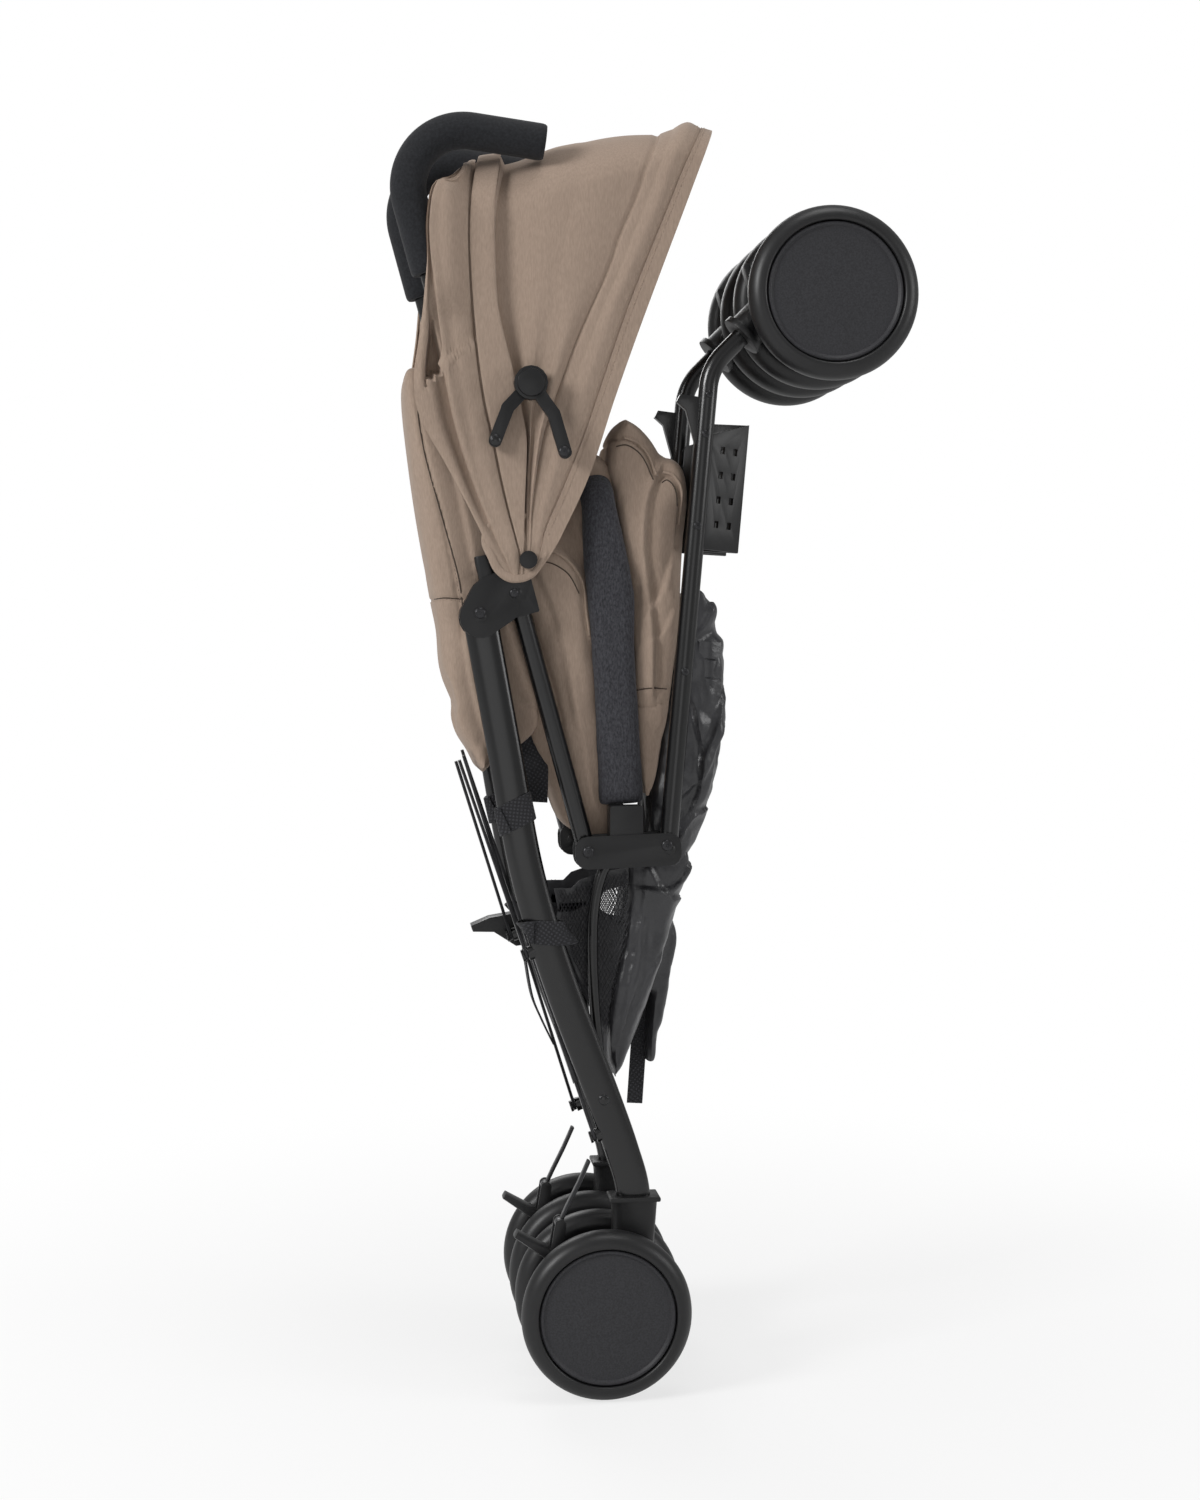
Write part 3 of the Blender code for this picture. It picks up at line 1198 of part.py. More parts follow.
def build_brace_link(side):
    start = upper_boss(side) + ARM_NORMAL * arm_layer(side, 2)
    return flat_bar(start, side, BRACE_LINK_ANGLE, BRACE_LINK_LENGTH)


def flat_bar(start, side, angle, length):
    along = bar_direction(side, angle)
    across = along.cross(ARM_NORMAL).normalized()
    half = BAR_WIDTH / 2.0
    steps = 8
    outline = []
    for centre, turn in ((0.0, math.pi / 2.0), (length, -math.pi / 2.0)):
        for step in range(steps + 1):
            theta = turn + math.pi * step / steps
            outline.append((centre + half * math.cos(theta), half * math.sin(theta)))
    rings = []
    for level in (-BAR_THICK / 2.0, BAR_THICK / 2.0):
        rings.append([start + along * a + across * b + ARM_NORMAL * level for a, b in outline])
    bar = loft(rings)
    return cut(bar, rod(start, ARM_NORMAL, PIN_DIA / 2.0 + PIN_CLEARANCE, -0.01, 0.01, 12))


# The whole stroller

def place_right_and_left(stem, builder, finish, pivot, smooth=True):
    """Hang a symmetric piece on its pivots: the right one as built, the left one mirrored."""
    for side, letter in SIDES:
        make_node(stem + "_" + letter, mirror_to(builder(), side), finish, pivot[side], smooth)


def place_wheels(stem, axle_at, parent):
    for side, letter in SIDES:
        for place, sign in (("outer", 1), ("inner", -1)):
            outward = Y_AXIS * side * sign
            centre = axle_at(side) + outward * TWIN_SPACING / 2.0
            name = stem + "_wheel_" + place + "_" + letter
            pivot = make_pivot("pivot_" + name, centre, parent[side])
            make_node(name, build_wheel(centre, outward), "tyre_foam", pivot)
            if place == "outer":
                cap = build_hub_cap(centre, outward)
                make_node("hub_cap_" + stem + "_" + letter, cap, "black_plastic", pivot)


def pivots_for(stem, place_at, parent):
    """A pivot on each side, hung on that side's parent."""
    return {side: make_pivot("pivot_" + stem + "_" + letter, place_at(side), parent[side])
            for side, letter in SIDES}


def mirrored(place):
    """A place on the right side, as a function of the side."""
    return lambda side: Vector((place.x, place.y * -side, place.z))


def main():
    clear_scene()
    root = bpy.data.objects.new("stroller", None)
    bpy.context.scene.collection.objects.link(root)
    root["place"] = (0.0, 0.0, 0.0)
    root.location = (REAR_AXLE_X, 0.0, 0.0)
    frame = {-1: root, 1: make_pivot("slide_frame_left", link_rear(1), root)}
    leg = pivots_for("rear_leg", elbow_pivot, frame)
    link = pivots_for("link_plate", link_rear, frame)
    front = pivots_for("front_leg", link_front, link)
    place_right_and_left("handle_tube", build_handle_tube, "powder_coat", frame)
    place_right_and_left("handle_grip", lambda: build_handle_grip(-1), "grip_foam", frame)
    place_right_and_left("elbow", lambda: build_elbow(-1), "black_plastic", frame)
    place_right_and_left("rear_housing", lambda: build_rear_housing(-1), "black_plastic", leg)
    place_right_and_left("link_plate", lambda: build_link_plate(-1), "black_plastic", link)
    place_right_and_left("front_leg", lambda: build_front_leg(-1), "powder_coat", front)
    brace_foot = Vector((BRACE_FOOT_X, -BRACE_TUBE_Y, BRACE_FOOT_Z))
    brace = pivots_for("side_brace", mirrored(brace_foot), leg)
    place_right_and_left("side_brace", lambda: build_side_brace(-1), "powder_coat", brace)
    pedal = pivots_for("brake_pedal", pedal_pivot, leg)
    place_right_and_left("brake_pedal", lambda: build_brake_pedal(-1), "black_plastic", pedal)
    strap = pivots_for("brake_strap", bracket_pin, pedal)
    place_right_and_left("brake_strap", lambda: build_brake_strap(-1), "steel_bar", strap)
    for side, letter in SIDES:
        make_node("rear_leg_" + letter, build_rear_leg(side), "powder_coat", leg[side])
        arm_place = lower_boss(side) + ARM_NORMAL * arm_layer(side, 0)
        arm = make_pivot("pivot_x_arm_" + letter, arm_place, leg[side])
        make_node("x_arm_" + letter, build_arm(side), "steel_bar", arm)
        tie_place = upper_boss(side) + ARM_NORMAL * arm_layer(side, 2)
        tie = make_pivot("pivot_x_link_" + letter, tie_place, leg[side])
        make_node("x_link_" + letter, build_brace_link(side), "steel_bar", tie)
    caster = pivots_for("caster", lambda side: swivel_point(side, 0.0), front)
    place_right_and_left("caster", build_caster, "black_plastic", caster)
    place_wheels("rear", rear_axle, leg)
    place_wheels("front", front_axle, caster)
    outer = pivots_for("footrest_outer", plate_hinge, front)
    inner = pivots_for("footrest_inner", lambda side: plate_corner(side, 1), outer)
    place_right_and_left("footrest_outer", lambda: build_plate(-1, 1), "black_plastic", outer, False)
    place_right_and_left("footrest_inner", lambda: build_plate(-1, 2), "black_plastic", inner, False)
    right_hood = make_pivot("pivot_canopy_right", spot(CANOPY_PIVOT_X, CANOPY_PIVOT_Z, -1), root)
    hood = {-1: right_hood, 1: make_pivot("slide_canopy_left", spot(CANOPY_PIVOT_X, CANOPY_PIVOT_Z, 1), right_hood)}
    place_right_and_left("canopy_front", build_canopy_front, "taupe_cloth", hood)
    rear_rivet, boss, _ = stay_points(-1)
    stay_rear = pivots_for("stay_rear", mirrored(rear_rivet), frame)
    stay_front = pivots_for("stay_front", mirrored(boss), stay_rear)
    place_right_and_left("stay_rear", lambda: build_stay_arm("rear"), "black_plastic", stay_rear)
    place_right_and_left("stay_front", lambda: build_stay_arm("front"), "black_plastic", stay_front)
    bumper = {-1: link[-1], 1: make_pivot("slide_bumper_left", link_rear(1), link[-1])}
    place_right_and_left("bumper", build_bumper_half, "grey_sleeve", bumper)
    rest = {-1: front[-1], 1: make_pivot("slide_leg_rest_left", link_front(1), front[-1])}
    place_right_and_left("leg_rest", build_leg_rest_half, "taupe_cloth", rest)
    basket = {-1: leg[-1], 1: make_pivot("slide_basket_left", elbow_pivot(1), leg[-1])}
    place_right_and_left("basket_rear", build_basket_rear_half, "black_nylon", basket)
    make_node("basket_front", build_basket_front(), "black_nylon", front[-1])
    place_right_and_left("canopy_rear", build_canopy_rear_half, "taupe_cloth", frame)
    make_node("backrest", build_backrest(), "taupe_cloth", root)
    make_node("seat", build_seat(), "taupe_cloth", root)
    release = make_pivot("pivot_fold_pedal", release_pivot(), leg[1])
    make_node("fold_pedal", build_fold_pedal(), "black_plastic", release)


main()
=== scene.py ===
"""Folded umbrella stroller: the cloth, foam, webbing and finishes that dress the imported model."""
import json
import math

import bmesh
import bpy
import numpy as np
from mathutils import Matrix, Vector
from mathutils.bvhtree import BVHTree


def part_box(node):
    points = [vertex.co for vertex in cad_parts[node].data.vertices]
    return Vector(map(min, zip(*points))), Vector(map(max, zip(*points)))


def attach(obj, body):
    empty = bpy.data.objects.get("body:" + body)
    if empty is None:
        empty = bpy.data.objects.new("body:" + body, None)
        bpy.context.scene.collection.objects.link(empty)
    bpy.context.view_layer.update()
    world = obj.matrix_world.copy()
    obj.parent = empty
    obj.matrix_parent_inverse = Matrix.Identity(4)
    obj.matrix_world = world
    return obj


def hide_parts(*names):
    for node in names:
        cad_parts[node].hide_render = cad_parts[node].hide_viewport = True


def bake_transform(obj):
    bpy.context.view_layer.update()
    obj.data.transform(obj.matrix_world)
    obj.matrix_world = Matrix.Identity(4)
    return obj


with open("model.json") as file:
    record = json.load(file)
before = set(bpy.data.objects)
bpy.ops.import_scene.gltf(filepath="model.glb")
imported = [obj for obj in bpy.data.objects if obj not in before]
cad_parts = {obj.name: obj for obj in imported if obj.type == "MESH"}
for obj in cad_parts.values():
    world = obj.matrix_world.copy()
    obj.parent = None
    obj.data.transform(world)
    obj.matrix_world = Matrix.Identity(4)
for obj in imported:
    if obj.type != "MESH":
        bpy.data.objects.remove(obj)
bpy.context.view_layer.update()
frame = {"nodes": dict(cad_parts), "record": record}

bl_info = {
    "name": "Folded Stroller",
    "version": (1, 0, 0),
    "blender": (4, 5, 0),
    "location": "View3D > Sidebar > Stroller",
    "description": "Dresses a packed umbrella stroller with its cloth, foam and finishes",
    "category": "Object",
}

# Places are millimetres ahead of the rear axle (x), above the floor (z), to the left (y); "share" and "climb"
# run from 0 to 1


def box_mm(node):
    """The low and high corner of a node's box, to a tenth of a millimetre."""
    return [[round(value * 1000.0, 1) for value in corner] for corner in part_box(node)]


def middle_y(node):
    """How far a node of the right side stands from the middle of the stroller."""
    low, high = box_mm(node)
    return round(-0.5 * (low[1] + high[1]), 1)


# Driving sizes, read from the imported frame

CAP_LOW, CAP_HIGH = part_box("hub_cap_rear_right")
AXLE_X = 0.5 * (CAP_LOW.x + CAP_HIGH.x)
HOOD_Y = -1000.0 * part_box("canopy_front_right")[0].y
FRAME_Y = middle_y("handle_grip_right")
BRACE_Y = middle_y("side_brace_right")
GRIP_DIA = round(2.0 * (box_mm("handle_grip_right")[1][1] + FRAME_Y), 1)
CUSHION_Y = FRAME_Y - 15.0
BASKET_Y = BRACE_Y - 5.0
SIDES = ((-1, "right"), (1, "left"))
X_AXIS, Y_AXIS, Z_AXIS = Vector((1.0, 0.0, 0.0)), Vector((0.0, 1.0, 0.0)), Vector((0.0, 0.0, 1.0))


def place(x_mm, z_mm, y_mm=0.0):
    """A place of the side view as a point in metres."""
    return Vector((AXLE_X + x_mm / 1000.0, y_mm / 1000.0, z_mm / 1000.0))


def metres(points):
    return [(a / 1000.0, b / 1000.0) for a, b in points]


def hump(value, low, high):
    """A half wave between two values, and 0 outside them."""
    if value <= low or value >= high:
        return 0.0
    return math.sin(math.pi * (value - low) / (high - low))


def rise(value, start, end):
    """A soft step from 0 at one value to 1 at the other."""
    part = min(1.0, max(0.0, (value - start) / (end - start)))
    return part * part * (3.0 - 2.0 * part)


# Colours and material nodes

def linear(hex_colour):
    """sRGB hex to the linear colour that a shader takes."""
    parts = [int(hex_colour[i:i + 2], 16) / 255.0 for i in (1, 3, 5)]
    curved = [c / 12.92 if c <= 0.04045 else ((c + 0.055) / 1.055) ** 2.4 for c in parts]
    return (*curved, 1.0)


def shade(colour, factor):
    """A darker or lighter copy of a linear colour."""
    return (*[min(1.0, c * factor) for c in colour[:3]], 1.0)


def add_node(tree, kind, values=None, links=None, **settings):
    """Add a node, set its own settings and socket values, and link other nodes' outputs to it."""
    node = tree.nodes.new(kind)
    for name, value in settings.items():
        setattr(node, name, value)
    for socket, value in (values or {}).items():
        node.inputs[socket].default_value = value
    for socket, source in (links or {}).items():
        tree.links.new(source, node.inputs[socket])
    return node


class Surface:
    """A material in the making: its shader, and the textures that shape its colour and relief."""

    def __init__(self, name, roughness, metallic=0.0, **sockets):
        self.material = bpy.data.materials.new(name)
        self.material.use_nodes = True
        self.tree = self.material.node_tree
        self.shader = self.tree.nodes["Principled BSDF"]
        for socket, value in {"Roughness": roughness, "Metallic": metallic, **sockets}.items():
            self.shader.inputs[socket.replace("_", " ")].default_value = value
        self.where = add_node(self.tree, "ShaderNodeTexCoord")

    def mapped(self, source="Object", turn=(0.0, 0.0, 0.0), stretch=(1.0, 1.0, 1.0)):
        """Texture coordinates, turned and stretched."""
        return add_node(self.tree, "ShaderNodeMapping", {"Rotation": turn, "Scale": stretch},
                        {"Vector": self.where.outputs[source]}).outputs["Vector"]

    def noise(self, size_mm, detail, vector=None, **values):
        """Noise with its grains about a size apart."""
        return add_node(self.tree, "ShaderNodeTexNoise", {"Scale": 1000.0 / size_mm, "Detail": detail,
                                                          **values},
                        {"Vector": vector or self.where.outputs["Object"]}).outputs["Fac"]

    def combined(self, operation, first, second):
        return add_node(self.tree, "ShaderNodeMath", links={0: first, 1: second},
                        operation=operation).outputs["Value"]

    def colour(self, factor, dark, light, start=0.0, end=1.0):
        """Colour the surface from dark to light as a factor goes from start to end."""
        ramp = add_node(self.tree, "ShaderNodeValToRGB", links={"Fac": factor})
        for element, position, tint in zip(ramp.color_ramp.elements, (start, end), (dark, light)):
            element.position = position
            element.color = tint
        self.tree.links.new(ramp.outputs["Color"], self.shader.inputs["Base Color"])

    def bump(self, height, depth_mm, strength=1.0, under=None):
        """Relief from a height, on top of another relief where there is one; the last one is what shows."""
        links = {"Height": height}
        if under:
            links["Normal"] = under
        relief = add_node(self.tree, "ShaderNodeBump", {"Strength": strength, "Distance": depth_mm / 1000.0},
                          links).outputs["Normal"]
        self.tree.links.new(relief, self.shader.inputs["Normal"])
        return relief

    def grain(self, size_mm, depth_mm, detail=3.0):
        """Fine relief of moulded or sprayed surfaces."""
        self.bump(self.noise(size_mm, detail), depth_mm)

    def mottle(self, colour, size_mm, low, high, detail=2.0):
        """Slight change of colour over a surface, as dye, dust and rubbing give."""
        self.colour(self.noise(size_mm, detail), shade(colour, low), shade(colour, high), 0.3, 0.7)

    def weave(self, source, pitch_mm, turn_degrees=0.0):
        """Two sets of threads that cross, as one height."""
        turned_to = self.mapped(source, (0.0, 0.0, math.radians(turn_degrees)))
        directions = ("X", "Z") if source == "Object" else ("X", "Y")
        sets = [add_node(self.tree, "ShaderNodeTexWave",
                         {"Scale": 100.0 * math.pi / pitch_mm, "Distortion": 0.2, "Detail": 1.0,
                          "Detail Scale": 3.0},
                         {"Vector": turned_to}, bands_direction=direction).outputs["Fac"]
                for direction in directions]
        return self.combined("MULTIPLY", *sets)

    def threads(self, size_mm, turn_degrees):
        """Streaks of a yarn's width along one direction of a twill, seen from the side."""
        return self.noise(size_mm, 1.0, self.mapped(turn=(0.0, math.radians(turn_degrees), 0.0),
                                                    stretch=(1.0, 1.0, 0.22)))


def powder_coated_steel(colour):
    """Powder-coated steel tube: satin black with a faint orange peel from the spray booth."""
    surface = Surface("powder_coated_steel", 0.24, Specular_IOR_Level=0.55)
    surface.mottle(colour, 60.0, 0.85, 1.15)
    surface.grain(1.6, 0.012)
    return surface.material


def moulded_nylon(colour):
    """Glass-filled nylon from a spark-eroded mould: dull, with an even fine grain."""
    surface = Surface("moulded_nylon", 0.40, Specular_IOR_Level=0.40)
    surface.mottle(colour, 35.0, 0.9, 1.12)
    surface.grain(0.9, 0.03)
    return surface.material


def textured_cap(colour):
    """ABS hub cap: pebbled face that scatters a soft sheen."""
    surface = Surface("textured_abs", 0.52, Specular_IOR_Level=0.35)
    surface.mottle(colour, 1.4, 0.8, 1.25, 1.0)
    surface.grain(1.3, 0.06, 2.0)
    return surface.material


def eva_tyre(colour):
    """EVA foam tyre with its moulding skin: smooth and satin."""
    surface = Surface("moulded_eva", 0.40, Specular_IOR_Level=0.40)
    surface.mottle(colour, 25.0, 0.88, 1.12)
    surface.grain(3.0, 0.02)
    return surface.material


def grip_foam(colour):
    """Closed-cell foam sleeve: matt, with small open cells."""
    surface = Surface("closed_cell_foam", 0.85, Sheen_Weight=0.08, Sheen_Roughness=0.6,
                      Specular_IOR_Level=0.15)
    surface.mottle(colour, 2.0, 0.75, 1.3)
    surface.grain(1.1, 0.12, 4.0)
    return surface.material


def blackened_steel(colour):
    """Black-coated flat steel and screws: smoother and harder than the tubes, with bright edges."""
    surface = Surface("blackened_steel", 0.30, 0.55)
    surface.mottle(colour, 12.0, 0.8, 1.3)
    surface.grain(2.2, 0.01)
    return surface.material


def knitted_net(colour):
    """Knitted polyester net of the basket."""
    surface = Surface("knitted_net", 0.6)
    surface.mottle(colour, 2.5, 0.7, 1.4)
    surface.grain(0.8, 0.05)
    return surface.material


def twill_polyester(colour, name="polyester_canvas"):
    """Solution-dyed polyester canvas: a fine diagonal twill, matt, with a faint sheen on its folds."""
    surface = Surface(name, 0.88, Sheen_Weight=0.10, Sheen_Roughness=0.5, Specular_IOR_Level=0.22)
    twill = surface.combined("ADD", surface.threads(1.2, 38.0), surface.threads(1.2, -52.0))
    even = add_node(surface.tree, "ShaderNodeMapRange", {"From Min": 0.7, "From Max": 1.3}, {"Value": twill})
    surface.colour(even.outputs["Result"], shade(colour, 0.90), shade(colour, 1.07))
    creases = surface.noise(38.46, 3.0, surface.mapped(stretch=(1.0, 1.0, 0.4)), Roughness=0.5)
    surface.bump(twill, 0.3, 0.35, surface.bump(creases, 3.5, 0.45))
    return surface.material


def melange_sleeve(colour):
    """Melange jersey on the bumper bar: charcoal threads with lighter fibres between them."""
    surface = Surface("melange_jersey", 0.88, Sheen_Weight=0.12, Sheen_Roughness=0.45,
                      Specular_IOR_Level=0.15)
    fibres = surface.noise(1.4286, 3.0, surface.mapped(stretch=(1.0, 1.0, 0.45)), Roughness=0.7)
    surface.colour(fibres, shade(colour, 0.65), shade(colour, 1.7), 0.35, 0.68)
    surface.bump(surface.weave("Object", 1.3), 0.3, 0.6)
    return surface.material


def coated_nylon(colour):
    """Coated nylon of the basket: thin and slightly shiny, with sharp little creases."""
    surface = Surface("coated_nylon", 0.34, Sheen_Weight=0.05, Specular_IOR_Level=0.6)
    surface.mottle(colour, 50.0, 0.85, 1.2)
    creases = add_node(surface.tree, "ShaderNodeTexVoronoi", {"Scale": 28.0, "Randomness": 1.0},
                       {"Vector": surface.where.outputs["Object"]}, feature="SMOOTH_F1")
    surface.bump(surface.combined("ADD", creases.outputs["Distance"], surface.noise(33.333, 5.0)), 4.5, 0.7)
    return surface.material


def polypropylene_webbing(colour):
    """Woven polypropylene webbing: coarse ribs across the strap, with a painted highlight on their crowns and
    painted shade between them, over their relief.
    """
    surface = Surface("polypropylene_webbing", 0.62, Sheen_Weight=0.05, Specular_IOR_Level=0.25)
    weave = surface.weave("UV", 3.0, 32.0)
    # Colour follows the ribs' height: painted highlight on the crowns, painted shade in the hollows between
    # them
    surface.colour(weave, shade(colour, 0.55), shade(colour, 1.9))
    surface.bump(weave, 0.6, 0.9)
    return surface.material


# Mesh tools

def deselect_all():
    if bpy.context.mode != "OBJECT":
        bpy.ops.object.mode_set(mode="OBJECT")
    bpy.ops.object.select_all(action="DESELECT")


def activate(piece):
    deselect_all()
    piece.select_set(True)
    bpy.context.view_layer.objects.active = piece


def modify(piece, kind, **settings):
    """Add a modifier with its settings and apply it."""
    modifier = piece.modifiers.new(kind.lower(), kind)
    for name, value in settings.items():
        setattr(modifier, name, value)
    activate(piece)
    bpy.ops.object.modifier_apply(modifier=modifier.name)


def smooth(piece, degrees=35.0):
    activate(piece)
    bpy.ops.object.shade_smooth_by_angle(angle=math.radians(degrees))
    return piece


def round_edges(piece, width_mm, segments, sharp_degrees):
    modify(piece, "BEVEL", width=width_mm / 1000.0, segments=segments, limit_method="ANGLE",
           angle_limit=math.radians(sharp_degrees))


def dress(piece, material):
    piece.data.materials.clear()
    piece.data.materials.append(material)
    return piece


def object_from(builder, name):
    mesh = bpy.data.meshes.new(name)
    builder.to_mesh(mesh)
    builder.free()
    piece = bpy.data.objects.new(name, mesh)
    bpy.context.scene.collection.objects.link(piece)
    return piece


def bridge(builder, rings):
    """Join rings of vertices, each to the next, with a band of faces."""
    for first, second in zip(rings, rings[1:]):
        for index in range(len(first)):
            after = (index + 1) % len(first)
            builder.faces.new((first[index], first[after], second[after], second[index]))


def finished_copy(node, edge_mm=0.35, degrees=35.0):
    """A copy of a solid with its doubles merged, its sharp edges rounded and its curves smoothed."""
    piece = bpy.data.objects.new(node + "_finish", frame["nodes"][node].data.copy())
    bpy.context.scene.collection.objects.link(piece)
    activate(piece)
    bpy.ops.object.mode_set(mode="EDIT")
    bpy.ops.mesh.select_all(action="SELECT")
    bpy.ops.mesh.remove_doubles(threshold=0.00002)
    bpy.ops.mesh.tris_convert_to_quads(face_threshold=math.radians(1.0), shape_threshold=math.radians(180.0))
    bpy.ops.object.mode_set(mode="OBJECT")
    bpy.ops.mesh.customdata_custom_splitnormals_clear()
    round_edges(piece, edge_mm, 2, degrees + 15.0)
    return smooth(piece, degrees)


def turned(name, profile, sides=96):
    """A turned part: a disc extruded ring by ring along +Z; its profile is (radius, height) in mm."""
    deselect_all()
    radius, height = profile[0]
    bpy.ops.mesh.primitive_circle_add(vertices=sides, radius=radius / 1000.0, fill_type="NGON",
                                      location=(0.0, 0.0, height / 1000.0))
    piece = bpy.context.object
    piece.name = name
    piece.data.name = name
    bpy.ops.object.transform_apply(location=True)
    bpy.ops.object.mode_set(mode="EDIT")
    bpy.ops.mesh.select_all(action="SELECT")
    for (r0, h0), (r1, h1) in zip(profile, profile[1:]):
        bpy.ops.mesh.extrude_region_move(TRANSFORM_OT_translate={"value": (0.0, 0.0, (h1 - h0) / 1000.0)})
        bpy.ops.transform.resize(value=(r1 / r0, r1 / r0, 1.0))
    bpy.ops.mesh.select_all(action="SELECT")
    bpy.ops.mesh.normals_make_consistent(inside=False)
    bpy.ops.object.mode_set(mode="OBJECT")
    return piece


def stand_on_side(piece, centre, outward):
    """Turn a part from +Z to the stroller's side and put it at its centre."""
    turn = Matrix.Rotation(math.radians(90.0) * (1.0 if outward < 0 else -1.0), 4, "X")
    piece.data.transform(Matrix.Translation(centre) @ turn)
    return piece


def oval(width, height, sides, square=2.0):
    """Section of a rounded oval in metres; square 2 is an ellipse and more is boxier."""
    points = []
    for step in range(sides):
        angle = 2.0 * math.pi * step / sides
        points.append((boxed(math.cos(angle), square) * width / 2.0,
                       boxed(math.sin(angle), square) * height / 2.0))
    return metres(points)


def boxed(value, square):
    """A sine or cosine pushed outwards, so that its circle becomes a rounded box."""
    return math.copysign(abs(value) ** (2.0 / square), value)


def round_section(dia_mm, sides=36):
    return oval(dia_mm, dia_mm, sides)


def curve_through(points, steps):
    """A soft curve through a few points."""
    path = []
    last = len(points) - 1
    for index in range(last):
        p0, p1, p2, p3 = (points[max(index - 1, 0)], points[index], points[index + 1],
                          points[min(index + 2, last)])
        for step in range(steps):
            t = step / steps
            path.append(0.5 * ((2 * p1) + (p2 - p0) * t + (2 * p0 - 5 * p1 + 4 * p2 - p3) * t * t
                               + (3 * p1 - p0 - 3 * p2 + p3) * t * t * t))
    path.append(points[last].copy())
    return path


def side_curve(corners, steps):
    """A soft curve through places of the side view, still in millimetres."""
    return curve_through([Vector((x, 0.0, z)) for x, z in corners], steps)


def lengths_along(path):
    """The length run at each point of a path."""
    reach = [0.0]
    for first, second in zip(path, path[1:]):
        reach.append(reach[-1] + (second - first).length)
    return reach


def resample(path, count):
    """The same line as evenly spaced points."""
    reach = lengths_along(path)
    points = []
    index = 0
    for step in range(count + 1):
        target = reach[-1] * step / count
        while index < len(path) - 2 and reach[index + 1] < target:
            index += 1
        part = (target - reach[index]) / max(reach[index + 1] - reach[index], 1e-9)
        points.append(path[index].lerp(path[index + 1], part))
    return points


def swept(name, path, section, across=Y_AXIS, smooth_degrees=50.0):
    """A tube or bar: its section carried along a path, with a UV map in metres."""
    section_at = section if callable(section) else lambda share: section
    builder = bmesh.new()
    sheet = builder.loops.layers.uv.new("UVMap")
    rings = []
    for index, point in enumerate(path):
        before = path[max(index - 1, 0)]
        after = path[min(index + 1, len(path) - 1)]
        along = (after - before).normalized()
        side = (across - along * across.dot(along)).normalized()
        out = side.cross(along)
        shape = section_at(index / (len(path) - 1))
        rings.append([builder.verts.new(point + out * u + side * v) for u, v in shape])
    reach = lengths_along(path)
    shape = section_at(0.0)
    girth = [0.0]
    for first, second in zip(shape, shape[1:] + shape[:1]):
        girth.append(girth[-1] + math.dist(first, second))
    bridge(builder, rings)
    builder.faces.ensure_lookup_table()
    for number, face in enumerate(builder.faces):
        index, step = divmod(number, len(shape))
        corners = ((step, index), (step + 1, index), (step + 1, index + 1), (step, index + 1))
        for loop, (u, v) in zip(face.loops, corners):
            loop[sheet].uv = (girth[u], reach[v])
    builder.faces.new(rings[0])
    builder.faces.new(list(reversed(rings[-1])))
    bmesh.ops.recalc_face_normals(builder, faces=builder.faces)
    return smooth(object_from(builder, name), smooth_degrees)


def soften_ends(piece, width_mm=2.2):
    """Round the two open edges of a swept piece."""
    round_edges(piece, width_mm, 4, 60.0)
    return smooth(piece, 50.0)


def cloth_sheet(name, point, columns, rows, thickness_mm, relief):
    """A sheet of cloth from a function of (across, along), with its relief and its thickness."""
    builder = bmesh.new()
    grid = [[builder.verts.new(point(i / columns,
                                     j / rows)) for j in range(rows + 1)] for i in range(columns + 1)]
    sheet = builder.loops.layers.uv.new("UVMap")
    for i in range(columns):
        for j in range(rows):
            face = builder.faces.new((grid[i][j], grid[i][j + 1], grid[i + 1][j + 1], grid[i + 1][j]))
            for loop, (a, b) in zip(face.loops, ((i, j), (i, j + 1), (i + 1, j + 1), (i + 1, j))):
                loop[sheet].uv = (a / columns, b / rows)
    builder.normal_update()
    if sum(face.normal.dot(face.calc_center_median() - HOOD_MIDDLE) for face in builder.faces) < 0.0:
        bmesh.ops.reverse_faces(builder, faces=builder.faces)
        builder.normal_update()
    moves = [(grid[i][j], grid[i][j].normal * relief(i / columns, j / rows) / 1000.0)
             for i in range(columns + 1) for j in range(rows + 1)]
    for vertex, move in moves:
        vertex.co += move
    piece = object_from(builder, name)
    modify(piece, "SOLIDIFY", thickness=thickness_mm / 1000.0, offset=-1.0)
    return smooth(piece, 60.0)


# Fitting pieces to the frame

def fit(piece, material, slot, body, *nodes):
    """Dress a piece, let it ride on its body and stand for the solids it replaces."""
    dress(piece, material)
    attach(piece, body)
    if nodes:
        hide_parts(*nodes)
    return piece


def span(piece, material, slot, right_body, left_body, *nodes):
    """Cloth that both sides carry: it is dressed, its place is baked into its mesh, and the solids it
    replaces are hidden.
    """
    dress(piece, material)
    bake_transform(piece)
    if nodes:
        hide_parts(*nodes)
    return piece


def both(stem):
    return [stem + "_right", stem + "_left"]


def finish_nodes(names, material, slot, edge_mm=0.35):
    """Rounded and smoothed copies of solids whose shape is right."""
    for name in names:
        body = next(body for body, nodes in frame["record"]["behaviour"]["bodies"].items() if name in nodes)
        fit(finished_copy(name, edge_mm), material, slot, body, name)


